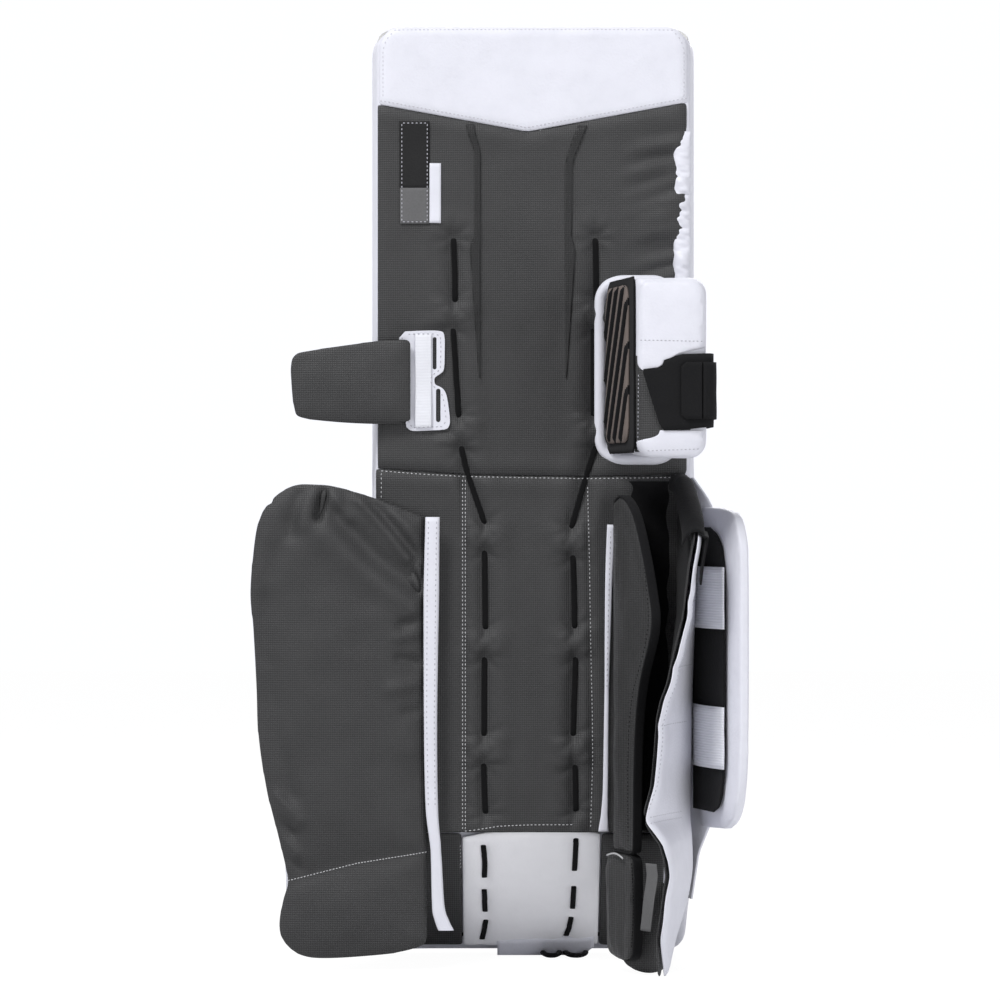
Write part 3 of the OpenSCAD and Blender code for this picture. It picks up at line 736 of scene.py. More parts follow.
def padded_leaf(name, outline, thick_mm, stand, finish, seams=(), rim=0.55, cap_mm=5.0,
                voxel_mm=5.0, folds=None, shrink=0.72, lining=None, back_mm=None):
    """Foam between two cloths: an outline in millimetres, stood up by stand(u, v, w)."""
    flat_mesh = bpy.data.meshes.new(name)
    work = bmesh.new()
    ring = [work.verts.new((u * MM, v * MM, -thick_mm * MM * shrink / 2)) for u, v in outline]
    base = work.faces.new(ring)
    top = bmesh.ops.extrude_face_region(work, geom=[base])
    bmesh.ops.translate(
        work, vec=(0, 0, thick_mm * MM * shrink),
        verts=[g for g in top["geom"] if isinstance(g, bmesh.types.BMVert)])
    bmesh.ops.recalc_face_normals(work, faces=work.faces)
    bmesh.ops.triangulate(work, faces=work.faces)
    work.to_mesh(flat_mesh)
    work.free()
    made = linked(name, flat_mesh)
    remesh = made.modifiers.new("voxels", "REMESH")
    remesh.mode = "VOXEL"
    remesh.voxel_size = voxel_mm * MM
    remesh.use_smooth_shade = True
    even = bake(made, remesh)
    co = np.array([v.co for v in even.vertices]) / MM
    loop = list(outline) + [outline[0]]
    rim_u, rim_v, to_rim = nearest_on([loop], co[:, 0], co[:, 1])
    wall = to_rim < 0.55 * voxel_mm
    co[:, 0] = np.where(wall, rim_u, co[:, 0])
    co[:, 1] = np.where(wall, rim_v, co[:, 1])
    to_seam = distance_to(seams, co[:, 0], co[:, 1]) if seams else np.full(len(co), 1e6)
    co[:, 2] *= rim + (1 - rim) * soft_step(to_rim / 16)
    co[:, 2] *= 0.42 + 0.58 * soft_step(to_seam / 11)
    even.vertices.foreach_set("co", (co * MM).ravel())
    blow_up(made, (to_seam < 0.6 * voxel_mm) | (to_rim < 0.4 * voxel_mm), cap_mm)
    even = bake(made, soften(made))
    co = np.array([v.co for v in even.vertices]) / MM
    to_rim = distance_to([loop], co[:, 0], co[:, 1])
    if folds is not None:
        push = folds(co[:, 0], co[:, 1])
        co[:, 2] += np.sign(co[:, 2]) * push * soft_step(to_rim / 10)
    if back_mm is not None:
        co[:, 2] = np.maximum(co[:, 2], -back_mm)
    if lining is not None:
        inside = (co[:, 2] < 0) & (to_rim > 7)
    placed = [stand(*p) for p in co]
    even.vertices.foreach_set("co", np.array([tuple(p) for p in placed]).ravel())
    face_outward(even)
    even.materials.clear()
    even.materials.append(finish)
    if lining is not None:
        even.materials.append(lining)
        for face in even.polygons:
            face.material_index = int(all(inside[i] for i in face.vertices))
    print(name, "has", len(even.vertices), "points")
    return made


print("padded leaves ready")

# %% [markdown]
# The pad's front and sides are one white leather cover over foam. Each row of it is the pad's
# section: wider in front, with round front edges. Around the ankle the rows fan out, so that the
# leather folds where the boot meets the shin. Two covers share the work, because each may bend
# over one joint only, and they meet at a seam round the middle of the shin.

# %% The white leather cover
EDGE_R = 16.0
ROLL_START = 148.0
TOE_R = 34.0
SPLIT_Z = 252.0
MITRE = math.radians(22.5)


def half_section(spread=1.0):
    """Half of the section as (x, depth) from the middle of the leg side to the middle front."""
    front = FRONT_Y
    side = [(0, 3.0), (45, 3.0), (90, 3.0), (120, 2.8), (129, 1.2), (133.2, 1.8), (134.6, 5)]
    side += [(134.6 + 4.6 * t, 5 + 40 * t + 1.2 * math.sin(math.pi * t)) for t in (0.25, 0.5, 0.75)]
    turn = [
        (HALF_FRONT - EDGE_R + EDGE_R * math.cos(a), front - EDGE_R + EDGE_R * math.sin(a))
        for a in span(0.0, math.pi / 2, 6)
    ]
    flat = [(HALF_FRONT - EDGE_R - 14, front + 0.7), (85, front + 1.5), (40, front + 2), (0, front + 2.2)]
    return [(x * spread, e) for x, e in side + turn + flat]


def full_section(spread=1.0, shut=0.0):
    """The whole loop; shut draws it together in depth about its middle."""
    right = half_section(spread)
    left = [(-x, e) for x, e in reversed(right[1:-1])]
    middle = FRONT_Y / 2
    return [(x, middle + (e - middle) * (1 - shut)) for x, e in right + left]


def leaning(x, e, height, tilt):
    """A point of a row that rises towards the front by its tilt."""
    return at(x, e, height + max(e, 0) * math.tan(tilt))


def on_boot(x, e, down, tilt=0.0):
    """A point of the boot: down its length from the fold, e deep from its leg side."""
    d = down + max(e, 0) * math.tan(tilt)
    s, c = math.sin(BOOT_LEAN), math.cos(BOOT_LEAN)
    return at(x, d * s + e * c, ANKLE_Z - d * c + e * s)


def cover_row(height):
    """One row of the cover above the ankle, with the knee's crease in front."""
    from_top = PAD_TOP - height
    spread, shut = 1.0, 0.0
    if from_top < 20:
        spread = 1 - (20 - math.sqrt(max(400 - (20 - from_top) ** 2, 0))) / HALF_FRONT
        shut = 0.2 * (1 - from_top / 20) ** 2.2
    crease = 6.5 * near_bump(height - KNEE_Z, 5)
    seam = 1.6 * near_bump(height - SPLIT_Z, 2.4)
    row = []
    for x, e in full_section(spread, shut):
        deep = ease((e - 14) / 36)
        puff = 0.7 * ripple(x, e, height, 60) + 0.3 * ripple(x, e, height, 22)
        e -= (crease + seam - puff) * deep
        side = ease((e - 6) / 20) * ease((FRONT_Y - 4 - e) / 14)
        x -= math.copysign(seam * side, x)
        tilt = MITRE * (1 - ease((height - ANKLE_Z) / 74))
        row.append(leaning(x, e, height, tilt))
    return row


def boot_row(down, shut=0.0, spread=1.0):
    tilt = MITRE * (1 - ease(down / 62))
    row = []
    for x, e in full_section(spread, shut):
        deep = ease((e - 14) / 36)
        crease = 5 * near_bump(down, 6)
        puff = 0.7 * ripple(x, e, -down, 60) + 0.3 * ripple(x, e, -down, 22)
        e -= (crease - puff) * deep
        spot = on_boot(x, e, down, tilt)
        spot.z = max(spot.z, 0.0)
        row.append(spot)
    return row


heights = [PAD_TOP - d for d in (0, 0.8, 2.5, 5.5, 10, 16, 22, 34, 50)]
heights += span(PAD_TOP - 66, KNEE_Z + 14, 22) + [KNEE_Z + d for d in (9, 5, 2, 0, -2, -5, -9)]
heights += span(KNEE_Z - 14, SPLIT_Z + 7, 12) + [SPLIT_Z + 3, SPLIT_Z + 0.2]
upper_cover = tube_piece("upper_cover", [cover_row(h) for h in heights], WHITE)
heights = [SPLIT_Z - 0.2, SPLIT_Z - 3] + span(SPLIT_Z - 8, ANKLE_Z + 6, 12) + [ANKLE_Z + 2.5]
lower_rows = [cover_row(h) for h in heights]
lower_rows += [boot_row(d) for d in [0, 2.5, 6] + span(14, ROLL_START - 3, 12)]
for turn in span(8, 90, 9):
    s, c = math.sin(math.radians(turn)), math.cos(math.radians(turn))
    down = ROLL_START + 25.9 * s
    spread = 1 - (TOE_R - math.sqrt(max(TOE_R ** 2 - max(down - 140, 0) ** 2, 0))) / HALF_FRONT
    lower_rows.append(boot_row(down, 1 - max(c, 0.02) ** 0.45, spread))
lower_cover = tube_piece("lower_cover", lower_rows, WHITE)

soften(upper_cover)
soften(lower_cover)
tuple(at(0, 0, KNEE_Z + 26))
tuple(at(0, 0, KNEE_Z - 26))
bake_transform(upper_cover)
tuple(at(0, 0, ANKLE_Z + 44))
tuple(at(0, 30, ANKLE_Z - 34))
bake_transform(lower_cover)
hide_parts("thigh_front_skin", "shin_front_skin")
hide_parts("boot_front_skin", "toe_roll")
print("covers made, seam at %.0f mm" % SPLIT_Z)

# %% [markdown]
# The leg side is grey nylon over thin foam. Two flat laces run down it and draw the cloth in, so
# the cloth sinks along each lace and puckers where a lace goes under. The same relief function
# shapes the thigh, the shin and the boot, measured in millimetres towards the leg.

# %% The grey leg side
THIGH_LACES = [
    [(-68.3, 625), (-67.3, 597), (-67.1, 570)],
    [(-68.8, 548), (-66.5, 510), (-63.6, 471)],
    [(52.6, 625), (53.4, 598), (53.5, 571)],
    [(51.3, 548), (51.2, 510), (51.3, 472)],
]
KNEE_LACES = [
    [(-61.9, 447), (-56, 423), (-41.4, 380)],
    [(53.5, 447), (45, 421), (32.1, 376)],
]
SHIN_LACES = [
    [(-41.8, 358), (-41.3, 324), (-41, 290)],
    [(-41.8, 267), (-42.3, 233), (-42.3, 199)],
    [(-42.7, 176), (-42, 153), (-40.9, 133)],
    [(33.5, 354), (34.8, 322), (35.2, 291)],
    [(36, 267), (35, 233), (33.8, 199)],
    [(35.5, 174.5), (36, 153), (36.2, 135)],
]
BOOT_LACES = [
    [(-42.9, -16), (-41.6, -38), (-42, -60)], [(-42.3, -75), (-41.9, -90), (-41.5, -106)],
    [(-41, -117), (-42.6, -131), (-44.5, -144)],
    [(36.4, -7), (36, -29), (35.6, -51)], [(35.3, -71), (35, -86), (34.6, -102)],
    [(33.6, -113), (31.8, -127), (29, -139)],
]
KNEE_SEAM = [(-131, 427.5), (-58, 422.6), (44, 420.8), (131, 422.4)]
SIDE_SEAMS = [[(-59.8, 420), (-59.8, 118)], [(46.2, 413), (48.8, 280), (50.6, 177), (48.8, 120)]]
LACE_GAPS = [
    ((-67.1, 570), (-68.8, 548)), ((-63.6, 471), (-61.9, 447)),
    ((53.5, 571), (51.3, 548)), ((51.3, 472), (53.5, 447)),
    ((-41.4, 380), (-41.8, 358)), ((-41, 290), (-41.8, 267)), ((-42.3, 199), (-42.7, 176)),
    ((32.1, 376), (33.5, 354)), ((35.2, 291), (36, 267)), ((33.8, 199), (35.5, 174.5)),
]


def near_segments(x, z, lines):
    """Distance to the nearest line, and how far past the nearest line's end the point lies."""
    best, beyond = np.full(x.shape, 1e6), np.full(x.shape, 0.0)
    for line in lines:
        for (x0, z0), (x1, z1) in zip(line, line[1:]):
            dx, dz = x1 - x0, z1 - z0
            size = math.hypot(dx, dz)
            t = ((x - x0) * dx + (z - z0) * dz) / size
            over = np.maximum(-t, t - size)
            clamp = np.clip(t, 0, size) / size
            gap = np.hypot(x - x0 - clamp * dx, z - z0 - clamp * dz)
            closer = gap < best
            best = np.where(closer, gap, best)
            beyond = np.where(closer, over, beyond)
    return best, beyond


def leg_relief(x, z, laces, seams):
    """How far the cloth stands towards the leg at each point, in millimetres."""
    x, z = np.asarray(x, float), np.asarray(z, float)
    to_lace, _ = near_segments(x, z, laces)
    ends = [point for line in laces for point in (line[0], line[-1])]
    relief = 1.9 + 0 * x
    relief += 1.7 * np.exp(-((to_lace - 15) / 9) ** 2)
    relief -= 4.2 * np.exp(-(to_lace / 5.2) ** 2)
    for ex, ez in ends:
        far = np.hypot(x - ex, z - ez)
        turn = np.arctan2(z - ez, x - ex)
        fan = np.sin(7 * turn + 0.13 * ez + 0.02 * far * far / 9)
        relief += 0.9 * fan * np.exp(-((far - 9) / 8) ** 2)
    for (xa, za), (xb, zb) in LACE_GAPS:
        inside = soft_step((za - z + 1.2) / 2.4) * soft_step((z - zb + 1.2) / 2.4)
        near = np.exp(-((x - (xa + xb) / 2) / 19) ** 4)
        relief += 2.2 * inside * near - 1.6 * inside * np.exp(-((x - (xa + xb) / 2) / 2.2) ** 2)
    gather = soft_step((x - 66) / 52) * soft_step((z - 470) / 60) * soft_step((726 - z) / 16)
    relief += 6.0 * gather * np.array([
        ripple(a * 0.2, 50, b - 0.25 * a, 11) for a, b in zip(x.ravel(), z.ravel())
    ]).reshape(x.shape)
    if seams:
        to_seam, _ = near_segments(x, z, seams)
        relief -= 2.3 * np.exp(-(to_seam / 3.2) ** 2)
        relief += 0.6 * np.exp(-((to_seam - 10) / 6) ** 2)
    wave = np.array([
        0.75 * ripple(a, 3.1, b, 46) + 0.4 * ripple(a, 17, b * 0.6, 17)
        for a, b in zip(x.ravel(), z.ravel())
    ]).reshape(x.shape)
    relief += wave
    pressed = soft_step((x + 122) / 5) * soft_step((-66 - x) / 5)
    pressed *= soft_step((z - 452) / 6) * soft_step((552 - z) / 6)
    relief = relief * (1 - pressed) + 0.9 * pressed
    return np.maximum(relief, -0.7)


def tuck(x, left, right):
    """The cloth's edges turn in towards the cover."""
    return 3.6 * (1 - np.sqrt(np.clip(np.minimum(x - left, right - x) / 7, 0, 1)))


def cap_line(x):
    """Height of the seam between the grey panel and the white cap."""
    return 715.6 + 0.185 * abs(x + 5.5)


def flat_panel(name, x_range, z_of, seams, laces, finish, step=3.0):
    """A leg-side panel between two heights, which may change across it."""
    columns = max(int((x_range[1] - x_range[0]) / step), 4)
    xs = span(x_range[0], x_range[1], columns)
    count = max(int((z_of(0)[1] - z_of(0)[0]) / step), 4)
    rows = []
    for v in span(0, 1, count):
        zs = [z_of(x)[0] + (z_of(x)[1] - z_of(x)[0]) * v for x in xs]
        out = leg_relief(xs, zs, laces, seams) - tuck(np.array(xs), *x_range)
        rows.append([at(x, -o, z) for x, z, o in zip(xs, zs, out)])
    made = sheet_piece(name, rows, finish, 2.4)
    soften(made)
    return made


def knee_seam(x):
    return blend_list(KNEE_SEAM, x)


def cap_seam_points():
    return [(x, cap_line(x)) for x in (-132, -66, -5.5, 66, 132)]


thigh_panel = flat_panel(
    "thigh_leg_panel", (-133.2, 131), lambda x: (knee_seam(x), cap_line(x)),
    [KNEE_SEAM, cap_seam_points()], THIGH_LACES + KNEE_LACES, GREY)
shin_panel = flat_panel(
    "shin_leg_panel", (-134.8, 131), lambda x: (ANKLE_Z, knee_seam(x)),
    [KNEE_SEAM] + SIDE_SEAMS, KNEE_LACES + SHIN_LACES, GREY)
dress(thigh_panel, "thigh", "grey_fabric", "thigh_back_panel")
dress(shin_panel, "shin", "grey_fabric", "shin_back_panel")
print("grey panels made")

# %% [markdown]
# The top of the leg side is a cap of white leather, cut to a shallow V. Its rows bend with the
# round corners of the pad, and its edge turns over the pad's rim.

# %% The white cap
def cap_half(z):
    """Half width of the cap at a height, with round top corners."""
    low = max(z - (PAD_TOP - 20), 0)
    return 132.0 - (20 - math.sqrt(max(400 - low * low, 0)))


cap_rows = []
for v in span(0, 1, 27):
    row = []
    for u in span(-1, 1, 67):
        x0 = u * 132
        z = cap_line(x0) + (PAD_TOP - 1.2 - cap_line(x0)) * v
        x = u * cap_half(z)
        rim = min(PAD_TOP - z, cap_half(z) - abs(x) + 0.2)
        out = 1.9 + 0.7 * ripple(x, 40, z, 38) + 0.35 * ripple(x, 9, z, 15)
        out -= 1.9 * near_bump(z - cap_line(x0), 3.2)
        out -= turned_in(4.2, rim, 7)
        row.append(at(x, -out, z))
    cap_rows.append(row)
cap_panel = sheet_piece("thigh_cap", cap_rows, WHITE, 2.4)
soften(cap_panel)
dress(cap_panel, "thigh", "white_leather", "thigh_cap_panel")
print("cap made, point at height %.1f mm" % cap_line(-5.5))

# %% [markdown]
# Two darker stripes are sewn on to the thigh. Each is cut as a left and a right edge that change
# with height, and laid on the panel's finished surface.

# %% Stripes, patch and laces of the leg side
def edge_rows(edges, step, count, where):
    """Rows of places between two edges; edges lists (height, left x, right x)."""
    low, high = edges[0][0], edges[-1][0]
    rows = []
    for z in span(low, high, max(int((high - low) / step), 3) + 1):
        left = blend_list([(h, a) for h, a, b in edges], z)
        right = blend_list([(h, b) for h, a, b in edges], z)
        rows.append([where(x, z) for x in span(left, right, count)])
    return rows


def applique(name, edges, carriers, finish, lift_mm=0.5, across=4, step=5.0, thick_mm=0.9):
    """A strip of cloth on the leg side, laid between two edges."""
    tree = tree_of(carriers)
    rows = edge_rows(edges, step, across + 1, lambda x, z: drop(x, z, tree, lift_mm)[0])
    return sheet_piece(name, rows, finish, thick_mm)


stripe_left = applique("stripe_left", [
    (505, -46.2, -45.4), (560, -50.3, -45.4), (614, -53.8, -45.3), (618, -53.4, -45.2),
    (626, -50, -45.2), (697, -50, -45.4), (703, -51.6, -46.5), (713, -55.5, -49.6),
    (721.5, -57.5, -50.5),
], [thigh_panel], STRIPE, 0.9, 6, 3.0)
stripe_right = applique("stripe_right", [
    (505, 27.4, 28.2), (560, 27.5, 32.3), (612, 27.4, 35.6), (616, 27.3, 35.2),
    (626, 27.3, 32.6), (686, 27.5, 33.2), (695, 29.2, 35.2), (708, 33.8, 40.6),
    (720.5, 38.5, 45.8),
], [thigh_panel], STRIPE, 0.9, 6, 3.0)
for stripe in (stripe_left, stripe_right):
    dress(stripe, "thigh", "grey_fabric")
patch = applique("size_patch_lower", [(637, -114, -89.1), (667.5, -114, -89.1)],
                 [thigh_panel], PATCH, 0.8, 8, 3.0, 1.2)
patch_top = applique("size_patch_upper", [(667.5, -114, -89.1), (724.3, -114, -89.1)],
                     [thigh_panel], PATCH_DARK, 0.8, 8, 3.0, 1.2)
patch_strip = applique("size_patch_strip", [(637.5, -88.8, -79), (688.5, -88.8, -79)],
                       [thigh_panel], WHITE, 0.7, 4, 3.0, 1.1)
dress(patch, "thigh", "patch", "size_patch")
dress(patch_top, "thigh", "patch")
dress(patch_strip, "thigh", "patch")


LACE_WIDE = 4.6


def lace_piece(name, lines, tree, where):
    """Flat laces on a surface; each end dips under the cloth."""
    parts = []
    for line in lines:
        smooth_line = curve_through(line, 9)
        path, ups = [], []
        for i, (x, z) in enumerate(smooth_line):
            spot, normal = where(x, z, tree)
            to_end = min(i, len(smooth_line) - 1 - i)
            sink = (1.5, -0.2, -1.0)[min(to_end, 2)]
            path.append(spot - normal * sink * MM)
            ups.append(normal)
        parts.append(ribbon_part(path, ups, LACE_WIDE, 1.9, 0.6))
    return join_parts(name, parts, LACE)


leg_tree = tree_of([thigh_panel, shin_panel])
thigh_laces = lace_piece("thigh_lace_runs", THIGH_LACES, leg_tree, drop)
shin_laces = lace_piece("shin_lace_runs", SHIN_LACES, leg_tree, drop)
knee_laces = lace_piece("knee_lace_runs", KNEE_LACES, leg_tree, drop)
dress(thigh_laces, "thigh", "lace", "thigh_laces")
dress(shin_laces, "shin", "lace", "shin_laces")
tuple(at(0, 0, KNEE_Z + 6))
tuple(at(0, 0, KNEE_Z - 6))
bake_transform(knee_laces)
print("stripes, patch and laces made")

# %% [markdown]
# The outer calf wrap lies open to the left of the leg. Its two cloths are sewn round the rim and
# across the ankle, and gathered at the top, where folds run down towards the leg.

# %% The outer calf wrap
def lying(y_mid):
    """Stands a leaf up in the plane of the leg side."""
    return lambda u, v, w: at(u, y_mid - w, v)


OUTER_RIM = curve_through([
    (-93, 386.5), (-112, 394), (-135, 402.7), (-169.9, 412.9), (-188, 414.6), (-201.4, 414.5),
    (-212, 410), (-224, 401), (-232.9, 387), (-238, 366), (-241.6, 322.7), (-239.2, 292),
    (-236.3, 240), (-234.8, 200), (-228, 155), (-221, 127), (-215, 103), (-209.4, 76),
    (-213.5, 61), (-217, 37), (-211, 22), (-196.3, 12), (-175.9, 10), (-142.7, 12), (-113.7, 15.4),
    (-90.5, 22.2),
], 4)
OUTER_SEAM = [(-210, 76.4), (-150, 91.5), (-88, 101.5)]


OUTER_FOLDS = [
    ([(-177, 414), (-180, 401), (-183, 386)], -4.6, 3.6),
    ([(-170, 409), (-166, 398), (-158, 386)], 2.2, 6),
    ([(-186, 411), (-192, 396), (-196, 380)], 1.9, 6.5),
    ([(-199, 407), (-204, 392), (-206, 372)], -1.8, 6),
    ([(-152, 405), (-130, 382), (-110, 356), (-97, 338)], 2.8, 4.6),
    ([(-138, 398), (-118, 374), (-98, 350)], -2.6, 5),
    ([(-118, 390), (-106, 376), (-98, 366)], 1.8, 5),
    ([(-166, 388), (-138, 356), (-100, 326)], -3.2, 9),
    ([(-176, 372), (-146, 342), (-97, 306)], 2.8, 13),
    ([(-210, 380), (-226, 330), (-230, 270)], -1.8, 9),
    ([(-130, 300), (-118, 240), (-108, 190)], 1.6, 12),
    ([(-224, 260), (-219, 200), (-206, 150)], -1.6, 8),
    ([(-104, 346), (-96, 324)], -3.2, 3),
    ([(-94, 300), (-112, 295)], -2.0, 4.5),
    ([(-94, 288), (-116, 284)], 1.4, 5),
    ([(-94, 262), (-114, 266)], -1.9, 4.5),
    ([(-94, 246), (-122, 240)], 1.5, 6),
    ([(-94, 222), (-110, 219)], -1.3, 5),
    ([(-228, 152), (-214, 143), (-200, 128)], 2.2, 6),
    ([(-222, 132), (-206, 117)], -2.0, 4.5),
    ([(-217, 113), (-203, 100)], 2.0, 5),
    ([(-212, 96), (-200, 88)], -1.6, 4),
    ([(-236, 340), (-231, 330)], 1.2, 9),
]


def outer_folds(u, v):
    return (
        1.7 * creases(u, v, OUTER_FOLDS) + 1.8 * waves(u, v, 2, 60) + 0.7 * waves(u, v, 7, 20))


outer_wrap = padded_leaf(
    "outer_wrap", OUTER_RIM, 13, lying(-9.2), GREY, [OUTER_SEAM], folds=outer_folds, cap_mm=4,
    back_mm=5.6)
dress(outer_wrap, "outer_wrap", "grey_fabric", "outer_wrap_pad", "outer_wrap_ankle_pad")

SHELL_INSET = 6.0
drawn_in = []
for (ua, va), (ub, vb), (uc, vc) in zip(OUTER_RIM, OUTER_RIM[2:], OUTER_RIM[4:]):
    size = math.hypot(uc - ua, vc - va)
    drawn_in.append((ub - (vc - va) / size * SHELL_INSET, vb + (uc - ua) / size * SHELL_INSET))
drawn_in = [(-96, 381)] + drawn_in[::2] + [(-96, 27)]
work = bmesh.new()
face = work.faces.new([work.verts.new(at(u, -1.6, v)) for u, v in drawn_in])
bmesh.ops.triangulate(work, faces=[face])
bmesh.ops.subdivide_edges(work, edges=work.edges, cuts=2, use_grid_fill=True)
for vert in work.verts:
    vert.co.y += 0.5 * MM * ripple(vert.co.x / MM, 3, vert.co.z / MM, 50)
shell_mesh = bpy.data.meshes.new("outer_wrap_leather")
work.to_mesh(shell_mesh)
work.free()
shell_mesh.materials.append(WHITE)
outer_shell = linked("outer_wrap_leather", shell_mesh)
thicken(outer_shell, 1.8)
dress(outer_shell, "outer_wrap", "white_leather", "outer_wrap_shell")
print("outer wrap and its leather back made")

# %% [markdown]
# The knee wing is a smaller leaf, held by a stitched leather plate on the thigh.

# %% The knee wing
WING_RIM = curve_through([
    (-105, 538.2), (-131, 536.9), (-168, 532), (-198, 527.2), (-204.6, 524), (-207.2, 515),
    (-207, 506), (-205.6, 488), (-203.4, 476), (-198.9, 471), (-168, 467.2), (-133, 465.4),
    (-105, 466),
], 3)
knee_wing = padded_leaf(
    "knee_wing", WING_RIM, 11, lying(-9), GREY, cap_mm=3,
    folds=lambda u, v: 1.3 * waves(u * 0.4, v, 8, 26) + 0.8 * waves(u, v * 0.5, 3, 16))
dress(knee_wing, "knee_wing", "grey_fabric", "knee_wing_pad")

# %% [markdown]
# The channel wing, the ankle wing and the inner wrap stand up towards the reader. Each one is
# drawn flat, with its reach across and its height up, and turned about its foot by its lean. The
# inner wrap twists, so its lean changes with height.

# %% The standing wings and wraps
def standing(x0, y0, lean_table):
    """Stands a leaf up on its foot; the table gives its lean in degrees by height."""
    def stand(u, v, w):
        lean = math.radians(blend_list(lean_table, v))
        return at(
            x0 + u * math.sin(lean) + w * math.cos(lean),
            y0 - u * math.cos(lean) + w * math.sin(lean), v)
    return stand


WING_AT = (69.5, -7.6)
WING_LEAN = [(0, 19.0)]
CHANNEL_RIM = curve_through([
    (-1.5, 398), (20, 404), (48, 388), (72, 352), (87, 320), (92, 303), (87, 285), (65, 250),
    (54, 214), (49.5, 165), (48, 114), (44, 104), (20, 102.6), (-1.5, 102.6),
], 4)
CHANNEL_SEAM = curve_through([
    (12, 392), (38, 380), (60, 349), (76, 318), (80, 304), (76, 290), (56, 254), (45, 214),
    (41, 165), (39, 112),
], 4)
channel_wing = padded_leaf(
    "channel_wing", CHANNEL_RIM, 13, standing(*WING_AT, WING_LEAN), GREY, [CHANNEL_SEAM],
    folds=lambda u, v: 1.2 * waves(u, v, 6, 34) + 0.6 * waves(u * 1.4, v * 0.5, 6, 12), cap_mm=4)
ANKLE_RIM = curve_through([
    (-4, 100), (43, 100), (50, 87), (50, 61), (49, 26), (43, 15), (23, 12), (-4, 16),
], 4)
ankle_wing = padded_leaf(
    "ankle_wing", ANKLE_RIM, 27, standing(WING_AT[0] - 1.5, WING_AT[1], WING_LEAN), GREY,
    [[(36, 98), (37, 60), (36, 22)]], cap_mm=5,
    folds=lambda u, v: 3.4 * waves(u * 1.5, v * 0.22, 12, 14))
dress(channel_wing, "channel_wing", "grey_fabric", "channel_wing_pad")
dress(ankle_wing, "channel_wing", "grey_fabric", "ankle_wing_pad")


def wing_binding(rim, stand, w, width_mm):
    """A narrow black tape laid round a wing's free edge."""
    path, normals = [], []
    for (ua, va), (ub, vb), (uc, vc) in zip(rim, rim[1:], rim[2:]):
        if ub < 2:
            continue
        path.append(stand(ub, vb, w))
        aside = stand(ub - (vc - va), vb + (uc - ua), w) - path[-1]
        normals.append(-aside.normalized())
    return ribbon_part(path, normals, width_mm, 2.4, 0.4)


wing_edges = join_parts("channel_wing_edge_tape", [
    wing_binding(CHANNEL_RIM, standing(*WING_AT, WING_LEAN), 1.8, 8.0),
    wing_binding(ANKLE_RIM, standing(WING_AT[0] - 1.5, WING_AT[1], WING_LEAN), 3.6, 8.0),
], LINING)
dress(wing_edges, "channel_wing", "black_lining")

INNER_AT = (124.0, -6.8)
INNER_LEAN = [(0, -15.0), (35, -14.5), (49, -12.8), (70, -10.8), (88, -9.0), (101, -9.6),
              (115, -11.6), (125, -15.6), (133, -18.6), (144, -18.2), (163, -15.5), (189, -14.0),
              (221, -12.6), (234, -11.0), (248, -8.1), (269, -5.4), (304, -0.7), (347, 2.2),
              (371, 4.7), (410, 7.0)]
INNER_RIM = curve_through([
    (-3, 408), (18, 409), (60, 391), (102, 373), (106, 360), (106, 285), (106, 223), (105, 160),
    (104, 139), (60, 136.5), (-3, 136.5),
], 4)
inner_stand = standing(*INNER_AT, INNER_LEAN)
inner_wrap = padded_leaf(
    "inner_wrap", INNER_RIM, 7, inner_stand, GREY, [[(96, 366), (97, 285), (97, 150)]],
    folds=lambda u, v: 1.0 * waves(u, v * 1.6, 21, 40), cap_mm=2, lining=LINING)
inner_ankle = padded_leaf(
    "inner_wrap_ankle", curve_through([
        (-3, 134.5), (60, 134.5), (100, 134), (102, 118), (97, 96), (93, 62), (90, 38), (85, 12),
        (74, 1.5), (66, 14), (46, 44), (20, 68), (-3, 96),
    ], 4), 8, inner_stand, GREY, [[(88, 128), (84, 80), (78, 20)]],
    folds=lambda u, v: 1.2 * waves(u, v * 1.4, 31, 34), cap_mm=2.5)
inner_foot = padded_leaf(
    "inner_wrap_foot", curve_through([
        (112, 78), (111, 40), (111, 8), (104, 1.4), (93, 1), (83, 5), (75, 12), (77, 26), (84, 44),
        (93, 66), (104, 80),
    ], 4), 9, lying(-38), GREY, cap_mm=3)
dress(inner_wrap, "inner_wrap", "grey_fabric", "inner_wrap_pad")
dress(inner_ankle, "inner_wrap", "grey_fabric", "inner_wrap_ankle_pad")
dress(inner_foot, "inner_wrap", "grey_fabric")

shell_rows = []
for v in span(3, 401, 90):
    reach = blend_list([(0, 70), (40, 91), (96, 97), (136, 105), (360, 106), (374, 101), (408, 30)], v)
    buckle = sum(near_bump(v - z, 5) for z in (136, 214, 262, 316))
    row = []
    start = blend_list([(0, 74), (14, 68), (45, 46), (68, 26), (90, 10)], v)
    for u in span(start, reach + 1.5, 22):
        near = ease((u - 30) / 60)
        out = 12.5 - 6.4 * ease((u - 14) / 70)
        out += (1.0 * ripple(u, v * 1.5, 44, 42) - 1.4 * buckle + 0.6) * near
        row.append(inner_stand(u, v, out - turned_in(3.5, reach + 1.5 - u, 7)))
    shell_rows.append(row)
inner_shell = sheet_piece("inner_wrap_leather", shell_rows, WHITE, 1.8)
soften(inner_shell)
dress(inner_shell, "inner_wrap", "white_leather", "inner_wrap_shell")
print("wings and wraps made")

# %% [markdown]
# Behind the wrap stands the calf block: a D-shaped slab of foam under white leather.

# %% The calf block
CALF_AT = (146.0, -3.0)
CALF_LEAN = 16.5
CALF_D = 101.0


